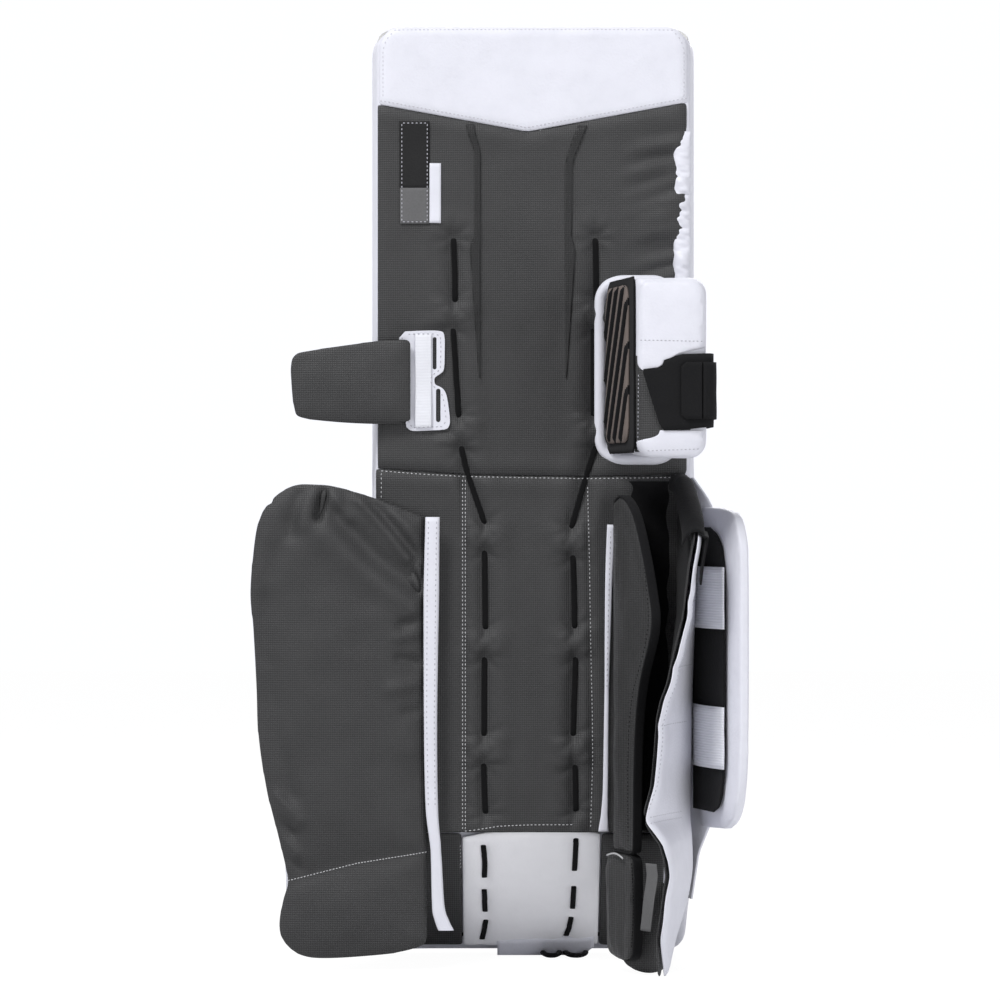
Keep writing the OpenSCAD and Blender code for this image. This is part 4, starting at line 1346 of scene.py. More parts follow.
def calf_rim(inset=0.0):
    d, low, high = CALF_D - inset, 122 + inset, 395 - inset
    return [(0 + inset * 0.4, high)] + curve_through([
        (d * 0.5, high - 1), (d * 0.8, high - 6), (d * 0.95, high - 24), (d, high - 55),
        (d, low + 90), (d * 0.95, low + 40), (d * 0.82, low + 14), (d * 0.6, low + 3),
    ], 6) + [(0 + inset * 0.4, low)]


calf_stand = standing(*CALF_AT, [(0, CALF_LEAN)])
calf_block = padded_leaf(
    "calf_block", calf_rim(), 17, calf_stand, WHITE, rim=0.62, cap_mm=3, shrink=0.85,
    folds=lambda u, v: 0.6 * waves(u, v, 61, 40))
dress(calf_block, "shin", "white_leather", "calf_block_body")
print("calf block made")

# %% [markdown]
# The knee block is a tapering foam block that carries the knee. Its leather is lofted over round
# cornered rectangles, from a rolled rim on the pad to the rounded edge of its near face.

# %% The knee block's leather
FLANGE = (89.0, 512.0, 73.0, 161.0)
BLOCK_FACE = (113.2, 510.0, 58.6, 149.6)
BLOCK_FOOT = (93.0, 512.0, 58.0, 140.0)
BLOCK_NEAR = -130.0
SHARP_CORNER = 4.5


def round_rect(x, z, w, h, r, corner=6, upper_left=None):
    """A round-cornered rectangle as (x, z) points, the same number for every size."""
    radii = (r, upper_left or r, r, r)
    points = []
    for k, (sx, sz) in enumerate(((1, 1), (-1, 1), (-1, -1), (1, -1))):
        own, ahead = radii[k], radii[(k + 1) % 4]
        for step in range(corner + 1):
            turn = math.pi / 2 * (k + step / corner)
            points.append((
                x + sx * (w / 2 - own) + own * math.cos(turn),
                z + sz * (h / 2 - own) + own * math.sin(turn)))
        last = points[-1]
        after = (
            (x - (w / 2 - ahead), last[1]), (last[0], z - (h / 2 - ahead)),
            (x + (w / 2 - ahead), last[1]), (last[0], z + (h / 2 - ahead)))[k]
        count = 8 if k % 2 == 0 else 14
        for step in range(1, count):
            t = step / count
            points.append((last[0] + (after[0] - last[0]) * t, last[1] + (after[1] - last[1]) * t))
    return points


def face_share(depth):
    """How far the block has changed from its foot to its face at a depth."""
    t = (depth - 6) / 118
    return ease(t) * 0.25 + 0.75 * min(max(t, 0), 1)


def block_ring(y, inset=0.0, r=14.0):
    """The block's outline at a distance from the leg side, drawn in by an inset."""
    t = face_share(-y)
    x, z, w, h = [a + (b - a) * t for a, b in zip(BLOCK_FOOT, BLOCK_FACE)]
    return [
        at(px + 0.7 * ripple(px, y, pz, 34), y, pz + 0.7 * ripple(pz, y, px, 30))
        for px, pz in round_rect(
            x, z, w - 2 * inset, h - 2 * inset, max(r - inset * 0.6, 4), upper_left=SHARP_CORNER)
    ]


rings = [block_ring(y) for y in span(-3, -112, 14)]
for turn in span(10, 90, 7):
    s, c = math.sin(math.radians(turn)), math.cos(math.radians(turn))
    rings.append(block_ring(-117 - 11 * s, 8 * (1 - c)))
for inset, rise in ((11, 11.9), (15, 12.5), (20, 12.9), (25, 13.0)):
    rings.append(block_ring(-117 - rise, inset, 12))
block_leather = tube_piece("knee_block_leather", rings, WHITE)

profile = [
    (0, 0.4), (-0.8, 2.6), (-0.2, 5.2), (2, 7.2), (5, 7.7), (7.6, 6.6), (9.2, 4.6), (10, 3),
    (16, 2.6), (30, 2.4),
]
rings = []
for inset, rise in profile:
    x, z, w, h = FLANGE
    rings.append([
        at(px, -rise - 0.35 * ripple(px, 3, pz, 18), pz)
        for px, pz in round_rect(x, z, w - 2 * inset, h - 2 * inset, max(22 - inset, 3))
    ])
block_rim = tube_piece("knee_block_rim", rings, WHITE)
soften(block_leather)
soften(block_rim)
dress(block_leather, "thigh", "white_leather", "knee_block_body")
dress(block_rim, "thigh", "white_leather", "knee_block_flange")
print("knee block leather made")

# %% [markdown]
# The block's inner side, where the knee lands, is a ribbed grip cloth in a black bound edge. Its
# ribs are slanted grooves pressed into the cloth, so a height function draws them. The faces down
# in each groove take the black lining finish, as painted shade.

# %% The knee block's grip and grey cloth
def block_left(depth):
    """The left face of the block: x at a depth from the leg side."""
    t = face_share(depth)
    foot, face = BLOCK_FOOT, BLOCK_FACE
    return foot[0] + (face[0] - foot[0]) * t - (foot[2] + (face[2] - foot[2]) * t) / 2


GRIP_Z = (449.0, 580.0)
GRIP_DEPTH = (10.0, 101.0)
RIB_PITCH = 23.0


GRIP_LEAN = math.atan2(20.0, 118)


def grip_point(z, depth, out):
    """A place in front of the block's left face."""
    x = block_left(depth) - out * math.cos(GRIP_LEAN)
    return at(x, -depth - out * math.sin(GRIP_LEAN), z)


rows = []
for t in span(0, 1, 84):
    z = GRIP_Z[0] + (GRIP_Z[1] - GRIP_Z[0]) * t
    draw = round_in(16, min(t, 1 - t) * 131)
    row = []
    for d in span(GRIP_DEPTH[0] + draw, GRIP_DEPTH[1] - draw, 70):
        phase = ((d - (z - 512) / 1.6) / RIB_PITCH) % 1.0
        edge = min(d - GRIP_DEPTH[0] - draw, GRIP_DEPTH[1] - draw - d, min(t, 1 - t) * 131)
        overlap = 0.2 + 3.0 * phase if phase < 0.86 else 3.2 - 6.4 * (phase - 0.86) / 0.14
        row.append(grip_point(z, d, 2.2 + max(overlap, -2.4) * ease(edge / 5)))
    rows.append(row)
grip_pad = sheet_piece("knee_grip_ribs", rows, GRIP, 1.4)
grip_pad.data.materials.append(LINING)
# Painted shade: the faces down in each groove get the black lining finish.
for face in grip_pad.data.polygons:
    middle = face.center / MM
    depth = LEG_Y - middle.y
    face.material_index = int(((depth - (middle.z - 512) / 1.6) / RIB_PITCH) % 1.0 > 0.80)
dress(grip_pad, "thigh", "grip", "knee_grip_pad")

rows = []
for z in span(440, 586, 30):
    draw = round_in(13, min(z - 440, 586 - z))
    rows.append([
        grip_point(z, d, 0.9 + 0.5 * ripple(d, z, 4, 25))
        for d in span(8 + draw, 120 - draw * 0.5, 30)])
side_lining = sheet_piece("knee_block_side_cloth", rows, LINING, 1.2)
dress(side_lining, "thigh", "black_lining")

NEAR_TREE = tree_of([block_leather])


def on_face(x, z, lift_mm):
    """A place on the block's near face."""
    spot = NEAR_TREE.ray_cast(at(x, -180, z), TOWARD, 0.2)[0]
    if spot is None:
        spot = NEAR_TREE.find_nearest(at(x, BLOCK_NEAR, z))[0]
    return spot + Vector((0, -lift_mm * MM, 0))


def face_sheet(name, edges, finish, lift_mm, thick_mm, step=3.0):
    rows = edge_rows(edges, step, 16, lambda x, z: on_face(x, z, lift_mm))
    return sheet_piece(name, rows, finish, thick_mm)


grey_zone = face_sheet("knee_face_cloth", [
    (441, 84, 122), (447, 83, 128), (510, 83, 128), (520, 84, 128)], GREY, 0.5, 1.0)
dress(grey_zone, "thigh", "grey_fabric")
face_upper = face_sheet("knee_face_upper", [
    (507.5, 89.5, 94), (509.5, 87, 100.5), (512.5, 85, 106), (518, 84.8, 113), (523.5, 84.8, 121.5),
    (525, 84.8, 141), (560, 84.8, 142), (574, 86, 140), (581, 91, 135)], WHITE, 1.6, 2.0, 2.0)
face_lower = face_sheet("knee_face_lower", [
    (437.5, 90, 134), (443, 85, 139), (448, 83.8, 141), (450, 84.5, 142), (451, 90, 142),
    (452.5, 97.5, 142), (454.5, 101.5, 142), (458.5, 103, 142)], WHITE, 1.6, 2.0, 1.2)
dress(face_upper, "thigh", "white_leather", "knee_face_panel_upper")
dress(face_lower, "thigh", "white_leather", "knee_face_panel_lower")
soften(face_upper)
soften(face_lower)
print("grip, grey cloth and face panels made")

# %% [markdown]
# A hook-and-loop strap crosses the face and turns back along the outer side. Only its free tab
# turns, about its right edge, so the tab is a piece of its own on a body of its own.

# %% The knee strap
def strap_path(u):
    """Along the strap in millimetres: across the face, round its edge, back along the side."""
    face_end, r = 137.0, 9.5
    if u < face_end:
        return u, BLOCK_NEAR - 2.6, Vector((0, -1, 0))
    turn = min((u - face_end) / r, math.radians(88))
    x = face_end + r * math.sin(turn)
    y = BLOCK_NEAR - 2.6 + r * (1 - math.cos(turn))
    rest = u - face_end - turn * r
    lean = math.radians(1.5)
    up = Vector((math.sin(turn), -math.cos(turn), 0))
    return x - rest * math.sin(lean), y + rest * math.cos(lean), up


def strap_sheet(name, u_range, edge_of, finish, lift_mm, thick_mm, count=40, step=14):
    rows = []
    for u in span(u_range[0], u_range[1], count):
        low, high = edge_of(u)
        x, y, up = strap_path(u)
        row = []
        for z in span(low, high, step):
            wave = 0.5 * ripple(u, 4, z, 20)
            spot = at(x, y, z) + up * (lift_mm + wave) * MM
            row.append(spot)
        rows.append(row)
    return sheet_piece(name, rows, finish, thick_mm)


def strap_edges(u):
    low = blend_list([(89, 506), (102.5, 463), (106, 458.2), (121, 458.6), (142, 461), (190, 461)], u)
    high = blend_list([(89, 508.6), (104.6, 510.6), (106, 516), (121, 521), (144, 521.8), (190, 520)], u)
    return low, high


strap = strap_sheet("knee_strap_band", (89.3, 215), strap_edges, HOOK, 0.2, 2.0, 60)
strap_second = strap_sheet(
    "knee_strap_lap", (138.2, 178), lambda u: (467.5, 514.5), HOOK, 2.6, 1.8, 24)
strap_tab = strap_sheet(
    "knee_strap_free_tab", (120.6, 137.4),
    lambda u: (blend_list([(120.6, 471), (124, 467.5)], u), blend_list([(120.6, 511), (124, 514.5)], u)),
    HOOK, 2.6, 1.8, 14)
dress(strap, "thigh", "hook_and_loop", "knee_strap")
dress(strap_second, "thigh", "hook_and_loop")
dress(strap_tab, "strap_tab", "hook_and_loop", "knee_strap_tab")
print("strap made")

# %% [markdown]
# The knee wing hangs on a white plate that is stitched to the thigh. The plate has two slots, and
# a white webbing band runs down its left half to hold the wing.

# %% The knee wing's plate and webbing
PLATE_RIM = curve_through([
    (-109.7, 545), (-95, 545.6), (-80.5, 545.4), (-76.2, 541.9), (-75.8, 528), (-76.4, 513),
    (-79.6, 508.8), (-83.6, 506), (-84.6, 503.4), (-83.6, 499.6), (-78, 496.6), (-74.6, 491.5),
    (-72.4, 480), (-71.3, 468.4), (-72.4, 463.6), (-76, 461.2), (-90, 460.3), (-102.9, 460),
    (-107.5, 462.5), (-109.2, 468), (-111, 500), (-114.6, 532), (-114.4, 541),
], 3)[:-1]


def plate_slot(x0, x1, z0, z1):
    return round_rect((x0 + x1) / 2, (z0 + z1) / 2, x1 - x0, z1 - z0, (x1 - x0) / 2 - 0.1, 3)


def plate_piece(name, rim, holes, lift_mm, thick_mm, finish):
    """A thin flat plate with holes, drawn flat, triangulated and stood in front of the cloth."""
    work = bmesh.new()
    edges = []
    for loop in [rim] + holes:
        verts = [work.verts.new((x, z, 0)) for x, z in loop]
        edges += [work.edges.new((a, b)) for a, b in zip(verts, verts[1:] + verts[:1])]
    bmesh.ops.triangle_fill(work, use_beauty=True, use_dissolve=False, edges=edges)
    for v in work.verts:
        v.co = at(v.co.x, -lift_mm, v.co.y)
    bmesh.ops.recalc_face_normals(work, faces=work.faces)
    mesh = bpy.data.meshes.new(name)
    work.to_mesh(mesh)
    work.free()
    mesh.materials.append(finish)
    made = linked(name, mesh)
    thicken(made, thick_mm)
    bevel = made.modifiers.new("soft_edges", "BEVEL")
    bevel.width = 0.5 * MM
    bevel.segments = 2
    bevel.limit_method = "ANGLE"
    return made


plate = plate_piece(
    "knee_wing_leather_plate", PLATE_RIM,
    [plate_slot(-86, -82.8, 512.5, 540), plate_slot(-83.2, -79.4, 467.5, 496)],
    3.4, 1.6, WHITE)
dress(plate, "thigh", "white_leather", "knee_wing_plate")
webbing_path = [at(-94, -5.2 - 0.5 * math.sin((z - 460) / 9), z) for z in span(462.5, 543, 26)]
webbing = join_parts("knee_wing_webbing_band", [
    ribbon_part(webbing_path, [Vector((0, -1, 0))] * 26, 14, 1.5, 0.3)], WEBBING)
dress(webbing, "thigh", "webbing", "knee_wing_webbing")
print("plate and webbing made")

# %% [markdown]
# At the ankle the leg side turns over a convex fold and runs down the boot. A table of short
# steps gives the path over that fold, and the boot's cloth is laid along it.

# %% The boot's leg side
def fold_table():
    """(run, y, z, angle) every millimetre, from the shin over the fold and down the boot."""
    table, y, z = [], 0.0, ANKLE_Z + 16
    for run in range(-16, 175):
        angle = BOOT_LEAN * ease((run + 9) / 18)
        table.append((run, y, z, angle))
        y += math.sin(angle)
        z -= math.cos(angle)
    return table


FOLD = fold_table()


def over_fold(x, run, out):
    """A point on the leg side: run millimetres past the ankle fold, raised by out."""
    i = min(max(int(math.floor(run + 16)), 0), len(FOLD) - 2)
    t = run + 16 - i
    y, z, angle = [a + (b - a) * t for a, b in zip(FOLD[i][1:], FOLD[i + 1][1:])]
    return at(x, y - out * math.cos(angle), z - out * math.sin(angle))


def boot_relief(x, run, laces):
    to_lace, _ = near_segments(np.array([x]), np.array([-run]), laces)
    out = 2.0 + 0.8 * ripple(x, run, 71, 44) + 0.35 * ripple(x * 1.4, run * 0.7, 5, 17)
    out -= 2.2 * near_bump(to_lace[0], 4.5)
    return out + 0.8 * near_bump(to_lace[0] - 12, 7)


def boot_cloth(name, x_range, top_of, finish, bottom=149.0, step=4.0):
    xs = span(x_range[0], x_range[1], max(int((x_range[1] - x_range[0]) / step), 4))
    rows = []
    for v in span(0, 1, 42):
        row = []
        for x in xs:
            top = top_of(x)
            run = top + (bottom - top) * v
            edge = min(run - top, bottom - run + 2, x - x_range[0] + 0.4, x_range[1] - x + 0.4)
            out = boot_relief(x, run, BOOT_LACES) - turned_in(1.7, edge, 4)
            row.append(over_fold(x, run, out))
        rows.append(row)
    made = sheet_piece(name, rows, finish, 2.0)
    soften(made)
    return made


def boot_top(x):
    """The curved top of the white panel, above the fold where it is negative."""
    return -blend_list([(-60, -4.6), (-45, -0.5), (-29, 2.8), (0, 4.2), (35, 4.6), (57, -0.6)], x)


boot_white = boot_cloth("boot_white_panel", (-61, 57.5), boot_top, BOOT_WHITE)
boot_left = boot_cloth("boot_left_cloth", (-130.5, -61.6), lambda x: 1.0, GREY)
boot_right = boot_cloth("boot_right_cloth", (58.2, 113), lambda x: 1.0, GREY)
for made, slot, nodes_for in (
        (boot_white, "boot_panel", ("boot_back_panel",)),
        (boot_left, "grey_fabric", ("boot_side_panels",)), (boot_right, "grey_fabric", ())):
    tuple(at(0, 0, ANKLE_Z + 3))
    tuple(at(0, 3, ANKLE_Z - 3))
    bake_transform(made)
    if nodes_for:
        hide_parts(*nodes_for)


def on_boot_cloth(x, z, tree):
    return drop(x, ANKLE_Z + z * math.cos(BOOT_LEAN), tree)


boot_tree = tree_of([boot_white])
boot_laces = lace_piece("boot_lace_runs", BOOT_LACES, boot_tree, on_boot_cloth)
dress(boot_laces, "boot", "lace", "boot_laces")
print("boot cloth and laces made")

# %% [markdown]
# A white tab closes the toe, and the ends of a black cord peep out under it.

# %% Toe tab and cord ends
TAB_TOP = [(-31, 141), (0, 139.5), (30, 138), (55, 136.5)]
rows = []
for v in span(0, 1, 12):
    row = []
    for x in span(-31, 54, 30):
        top = blend_list(TAB_TOP, x)
        low = blend_list([(-31, 159.6), (46, 158.4), (49, 153), (55, 146)], x)
        run = top + (low - top) * v
        out = 3.6 + 1.0 * v + 0.4 * ripple(x, run, 91, 24)
        out -= 2.4 * (1 - math.sqrt(min(min(v, 0.2) / 0.12, 1)))
        row.append(over_fold(x, run, out))
    rows.append(row)
toe_tab = sheet_piece("toe_closing_tab", rows, WHITE, 2.2)
dress(toe_tab, "boot", "white_leather", "toe_tab")
cord_parts = []
for x0, x1 in ((9, 24), (29, 47)):
    path = [
        at((x0 + x1) / 2 - (x1 - x0) / 2 * math.cos(t), 112 - 32 * math.sin(t), 2.8)
        for t in span(0, math.pi, 18)]
    cord_parts.append(ribbon_part(path, [Vector((0, 0, 1))] * 18, 5.0, 4.2, 0.9))
toe_cords = join_parts("toe_cord_ends", cord_parts, LACE)
dress(toe_cords, "boot", "lace", "toe_cords")
print("toe tab and cords made")

# %% [markdown]
# White tape binds the edges of the wraps where they meet the leg. The left tape runs the whole
# length of the outer wrap and ends in a loose tail; a narrower one edges the channel wing.

# %% Binding tapes
def tape(name, line, widths, y):
    """A tape along points (x, z), with a width that changes with height."""
    rows = []
    for x, z in curve_through(line, 8):
        half = blend_list(widths, z) / 2
        rows.append([
            at(x + half * t, y - 0.7 * (1 - t * t) - 0.4 * ripple(x, t * 8, z, 13), z)
            for t in (-1, -0.6, 0, 0.6, 1)])
    return sheet_piece(name, rows, WHITE, 1.3)


outer_tape = tape("outer_wrap_tape", [
    (-86, 386.5), (-87, 322.7), (-87.7, 213.8), (-86.6, 139.7), (-83.2, 103.1), (-81.2, 57),
    (-78.4, 44), (-74.4, 34.6),
], [(35, 13), (57, 10.2), (103, 8.6), (140, 10.4), (214, 11), (323, 13), (387, 11.8)], -15.6)
dress(outer_tape, "shin", "webbing", "outer_wrap_binding")
side_tape = tape("channel_tape", [
    (66.5, 380), (64.6, 340), (63.6, 300), (62.5, 240), (62, 200), (61.3, 150), (59.6, 118),
], [(118, 8.5), (132, 5.5), (150, 4), (240, 3), (300, 5), (380, 7)], -5.2)
dress(side_tape, "shin", "webbing", "wing_binding")
print("tapes made")

# %% [markdown]
# The space behind the channel wing is closed by black cloth. It rises from the leg side, lies
# over the inner wrap's sloping top, and ends in a tail that hangs over the wrap's near corner.

# %% Black cloth of the leg channel
rows = []
for z in span(120, 417, 50):
    row = []
    for x in span(76, 122, 14):
        swell = 3.2 * math.sin(math.pi * min(max((x - 76) / 44, 0), 1))
        row.append(at(x, -1.4 - swell - 0.8 * ripple(x, 2, z, 26), z))
    rows.append(row)
channel_floor = sheet_piece("channel_floor_cloth", rows, LINING, 1.4)
dress(channel_floor, "shin", "black_lining", "channel_liner")

rows = []
for u in span(0, 104, 34):
    lean = math.radians(blend_list(INNER_LEAN, 400))
    crest = blend_list([(0, 421), (20, 418), (40, 409), (70, 394), (90, 383), (104, 372.5)], u)
    row = []
    for t in span(-1, 1, 17):
        w = 8.4 * math.sin(math.pi / 2 * t)
        fall = (13 if t < 0 else 6) * (1 - math.cos(math.pi / 2 * t))
        row.append(inner_stand(u, crest + 2.6 - fall - 0.5 * ripple(u, t * 10, 6, 20), w))
    rows.append(row)
top_cloth = sheet_piece("inner_wrap_top_cloth", rows, LINING, 1.3)
rows = []
for v in span(0, 1, 20):
    turn = math.pi * min(v * 2.6, 1) / 2
    drop_mm = max(v - 0.38, 0) * 62
    out = 7.4 + 1.4 * math.sin(turn)
    rows.append([
        inner_stand(90 + 15 * k + 1.2 * math.sin(turn), 378 - 5 * k - 4 * math.sin(turn) - drop_mm,
                    out * math.sin(turn) + 2.6)
        for k in span(0, 1, 8)])
top_tail = sheet_piece("inner_wrap_top_tail", rows, LINING, 1.6)
dress(top_cloth, "inner_wrap", "black_lining", "inner_wrap_band")
dress(top_tail, "inner_wrap", "black_lining")

rows = []
for v in span(41, 98, 24):
    reach = blend_list([(41, 84), (60, 88), (98, 90)], v)
    rows.append([
        inner_stand(reach - 1.0 * k, v, -7.4 - 1.05 * k - 0.4 * ripple(k * 5, v, 1, 18))
        for k in span(0, 10, 8)])
blank_tag = sheet_piece("care_tag_blank", rows, PATCH, 0.5)
dress(blank_tag, "inner_wrap", "patch", "care_tag")
print("channel cloth, top cloth and tag made")

# %% [markdown]
# The calf block carries two white elastics over a black panel, and a leather web joins it to the
# pad's side wall.

# %% Calf block panel, elastics and web
def calf_sheet(name, u_range, v_range, lift_of, finish, thick_mm, rim=None):
    rows = []
    for v in span(v_range[0], v_range[1], max(int((v_range[1] - v_range[0]) / 5), 8)):
        high = u_range[1] if rim is None else min(u_range[1], rim(v))
        rows.append([calf_stand(u, v, -lift_of(u, v)) for u in span(u_range[0], high, 22)])
    return sheet_piece(name, rows, finish, thick_mm)


def lining_rim(v):
    """How far the black panel reaches at a height, inside the block's rolled rim."""
    return blend_list([
        (138, 52), (143, 66), (152, 74), (170, 79), (190, 81.5), (320, 82), (345, 80), (362, 74),
        (372, 62), (378, 44)], v)


calf_lining = calf_sheet(
    "calf_black_panel", (2, 82), (138.5, 378), lambda u, v: 10.4, LINING, 1.2, lining_rim)
elastics = []
for number, (low, high) in enumerate(((293, 345), (176, 228))):
    elastics.append(calf_sheet(
        "calf_elastic_%d" % (number + 1), (4, 83), (low, high),
        lambda u, v: 12.2 + 3.2 * math.sin(math.pi * min(u / 84, 1)) + 0.3 * ripple(u, 5, v, 20),
        ELASTIC, 1.4))
dress(calf_lining, "shin", "black_lining", "calf_block_lining")
dress(elastics[0], "shin", "webbing", "calf_strap_upper")
dress(elastics[1], "shin", "webbing", "calf_strap_lower")

rows = []
for v in span(0, 1, 60):
    z = 60 + (420 - 60) * v
    wide = blend_list([(60, 2), (100, 8), (122, 17), (150, 20), (390, 22), (404, 15), (420, 3)], z)
    deep = blend_list([(60, 4), (122, 10), (390, 12), (420, 6)], z)
    row = []
    for t in span(0, 1, 12):
        x = 133.2 + wide * t
        y = 12 - deep * (1 - (1 - t) ** 2) - 8 * t + 1.2 * ripple(t * 20, 7, z, 26)
        row.append(at(x, y, z))
    rows.append(row)
calf_web = sheet_piece("calf_leather_web", rows, WHITE, 1.8)
dress(calf_web, "shin", "white_leather", "calf_block_gusset")
print("calf block dressed")

# %% [markdown]
# Behind the knee block the cover's leather is gathered into a bunched roll along the edge.

# %% The gathered side roll
rows = []
for z in span(572, 716, 150):
    gather = ripple(2, 9, z, 4.5)
    wander = 1.6 * ripple(5, 3, z, 30)
    swell = ease((z - 572) / 10) * ease((716 - z) / 10)
    high = 4.6 + 3.8 * ease((616 - z) / 12)
    row = []
    for t in span(0, 1, 18):
        turn = math.pi * t
        pleat = gather * math.sin(2 * turn + z * 0.2)
        x = 127.0 + wander * math.sin(turn) - 7.0 * math.cos(turn) + 0.9 * pleat
        y = 1.0 - (high + 2.4 * pleat) * math.sin(turn) ** 0.7 * swell
        row.append(at(x, y, z))
    rows.append(row)
side_roll = sheet_piece("thigh_gathered_roll", rows, WHITE, 1.4)
dress(side_roll, "thigh", "white_leather", "thigh_side_roll")
print("side roll made")

# %% [markdown]
# Stitches are what tells cloth from plastic. Each row is a list of places on the drawing, and
# every stitch is dropped on to the finished cloth that carries it.

# %% Stitch rows on the leg side
def guide(points, y=-40.0):
    return [at(x, y, z) for x, z in points]


def shifted(points, dz):
    return [(x, z + dz) for x, z in points]


cap_top = [(-120, 802.5), (-60, 803), (60, 803), (120, 802.5)]
cap_side = [(-128.6, 745), (-128.6, 785), (-126, 794), (-120, 801)]
stitch_row(
    "cap_stitches",
    [guide(shifted(cap_seam_points(), 3.6)), guide(cap_top), guide(cap_side),
     guide([(-x, z) for x, z in cap_side])],
    [cap_panel], 3.4, WHITE_THREAD, "thigh", "white_leather")
stitch_row(
    "knee_seam_stitches",
    [guide(shifted(KNEE_SEAM[:1] + [(-95, 424.6)] + KNEE_SEAM[1:3] + [(118, 421.9)], -1.6))],
    [shin_panel], 3.6, THREAD, "shin", "grey_fabric")
stitch_row(
    "side_seam_stitches",
    [guide([(-60.6, 419), (-60.6, 119)]), guide([(-58.2, 419), (-58.2, 119)]),
     guide([(46.2, 413), (48, 340), (48.9, 280), (50.3, 215), (50.6, 177), (48.8, 121)]),
     guide([(-130, 425), (-130, 398)])],
    [shin_panel], 3.4, THREAD, "shin", "grey_fabric")
stitch_row(
    "boot_seam_stitches", [guide([(-62.5, 106), (-62.6, 60), (-61.8, 14)])],
    [boot_left, boot_white], 3.2, THREAD, "boot", "grey_fabric")
stitch_row(
    "ankle_seam_stitches",
    [guide([(-59.6, 118), (-45, 120), (-29, 122.6), (0, 123.6), (34, 123.8)])],
    [shin_panel], 3.2, THREAD, "shin", "grey_fabric")
stitch_row(
    "outer_wrap_stitches", [guide(OUTER_SEAM[:1] + [(-180, 84)] + OUTER_SEAM[1:])], [outer_wrap],
    2.6, THREAD, "outer_wrap", "grey_fabric")
stitch_row(
    "outer_tape_stitches",
    [guide([(-89.4, 384), (-90.6, 322), (-91, 214), (-89.6, 140)]),
     guide([(-82.6, 384), (-83.4, 322), (-84.6, 214), (-83.8, 140)])],
    [outer_tape], 4.4, DULL_THREAD, "shin", "webbing")
stitch_row(
    "channel_tape_stitches", [guide([(66, 376), (64.8, 340), (63.7, 300), (62.6, 240)])],
    [side_tape], 4.4, DULL_THREAD, "shin", "webbing")
stitch_row(
    "plate_stitches",
    [guide([(-112.3, 541), (-108.6, 500), (-106.2, 466), (-103, 462.7), (-77, 463.8), (-74.6, 470),
            (-76.2, 484), (-78.8, 493), (-86.6, 499), (-88.2, 503.5), (-86.6, 507.5), (-79.6, 512.5),
            (-79, 530), (-79.6, 541), (-84, 542.8), (-108, 542.6)])],
    [plate, webbing], 3.6, DULL_THREAD, "thigh", "webbing")
stitch_row(
    "patch_stitches",
    [guide([(-112.4, 638.5), (-112.4, 722.8), (-90.7, 722.8), (-90.7, 638.5), (-112.4, 638.5)])],
    [patch, patch_top], 3.4, DULL_THREAD, "thigh", "patch")
print("leg-side stitches made")

# %% Stitch rows on the block, the wings and the wrap
stitch_row(
    "block_face_stitches",
    [guide([(86, 532.7), (139, 531.6)], -180), guide([(84.2, 526), (84.2, 576)], -180),
     guide([(85.6, 505), (85.2, 448)], -180), guide([(92, 441.5), (136, 443)], -180)],
    [face_upper, face_lower, grey_zone], 3.2, DULL_THREAD, "thigh", "white_leather")
wing_stand = standing(*WING_AT, WING_LEAN)
wing_turn = math.radians(19)
wing_side = Vector((math.cos(wing_turn), math.sin(wing_turn), 0))
stitch_row(
    "channel_wing_stitches",
    [guide(curve_through([
        (86, 388), (92, 346), (95, 303), (91, 272), (83, 237), (79.5, 190), (79.5, 112)], 4), -75)],
    [channel_wing], 3.0, LACE, "channel_wing", "lace")
stitch_row(
    "ankle_wing_stitches", [guide([(82, 96), (84, 60), (82, 24)], -75)],
    [ankle_wing], 3.0, LACE, "channel_wing", "lace")
wing_seam = [
    wing_stand(u, 102 + 3.6 * math.cos(math.pi * (u - 26) / 44) - 3.8, -9.6)
    for u in span(6, 44, 14)]
wing_thread = join_parts(
    "ankle_wing_seam_thread", [ribbon_part(wing_seam, [-wing_side] * 14, 1.5, 1.3, 0.9)], THREAD)
dress(wing_thread, "channel_wing", "webbing")
shell_lines = []
for v in (133, 138, 214, 262, 316):
    reach = blend_list([(133, 104), (360, 104)], v)
    shell_lines.append([inner_stand(u, v, 40) for u in span(30, reach, 9)])
shell_lines.append([inner_stand(101, v, 40) for v in span(140, 360, 16)])
lean = math.radians(-10)
stitch_row(
    "inner_leather_stitches", shell_lines, [inner_shell], 3.4, DULL_THREAD, "inner_wrap",
    "white_leather", Vector((-math.cos(lean), -math.sin(lean), 0)))
print("stitches on block, wings and wrap made")

# %% [markdown]
# Some CAD nodes stay as they are, inside the covers or under the cloth. Each still gets a real
# finish. The foam core shows as a thin line at the shin seam, and all of them show when the pad is
# cut in a drawing.

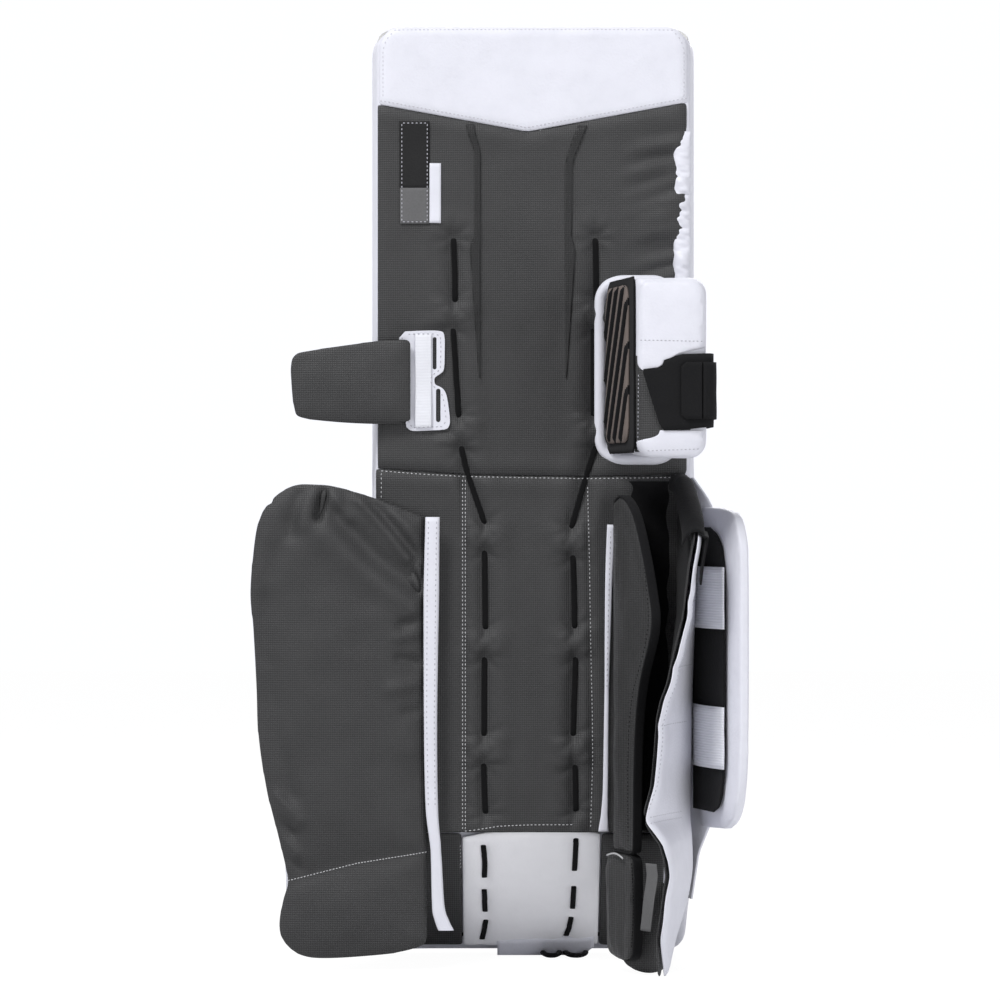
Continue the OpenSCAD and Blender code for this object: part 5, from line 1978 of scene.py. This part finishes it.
# %% Finishes of the CAD nodes that stay
KEPT = {
    FOAM: ["thigh_core", "shin_core", "boot_core"],
    SHEET: ["thigh_stiffener", "shin_stiffener", "boot_stiffener"],
}
for finish, names in KEPT.items():
    for name in names:
        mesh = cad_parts[name].data
        mesh.materials.clear()
        mesh.materials.append(finish)
print("kept nodes:", sum(len(names) for names in KEPT.values()))

# %% [markdown]
# Last, each named point of the picture is compared with the place where the finished piece shows.

# %% Point offsets
def shown(piece, keep=None):
    """Where the finished points of a piece show in the image."""
    graph = bpy.context.evaluated_depsgraph_get()
    shape = piece.evaluated_get(graph)
    mesh = shape.to_mesh()
    spots = [shape.matrix_world @ v.co for v in mesh.vertices]
    shape.to_mesh_clear()
    return [to_image(p) for p in spots if keep is None or keep(p)]


def rightward(p):
    return p[0]


def downward(p):
    return p[1]


every = [p for piece in (upper_cover, outer_wrap, inner_ankle, inner_shell) for p in shown(piece)]
found = {
    "left_edge": min(shown(outer_wrap), key=rightward),
    "right_edge": max(shown(calf_block), key=rightward),
    "top_edge": min(every, key=downward),
    "bottom_edge": max(every, key=downward),
    "cap_point": max(shown(cap_panel), key=downward),
    "cap_left": max(shown(cap_panel, lambda p: p.x < -130 * MM), key=downward),
    "patch_corner": min(shown(patch_top), key=lambda p: p[0] + p[1]),
    "lace_left_top": min(shown(thigh_laces, lambda p: p.x < 0), key=downward),
    "lace_right_top": min(shown(thigh_laces, lambda p: p.x > 0), key=downward),
    "block_corner": min(
        shown(block_leather, lambda p: p.y < (LEG_Y - 110) * MM), key=lambda p: p[0] + p[1]),
    "knee_wing_tip": min(shown(knee_wing), key=rightward),
    "plate_corner": max(shown(plate), key=lambda p: p[0] - p[1]),
    "wing_peak": max(shown(channel_wing), key=rightward),
    "outer_notch": min(shown(outer_wrap, lambda p: 74 * MM < p.z < 79 * MM), key=rightward),
    "boot_corner": min(shown(boot_white), key=lambda p: p[0] - p[1]),
}
for name, (x, y) in POINTS.items():
    [None if b is None else round(a - b, 1) for a, b in zip(found[name], (x, y))]
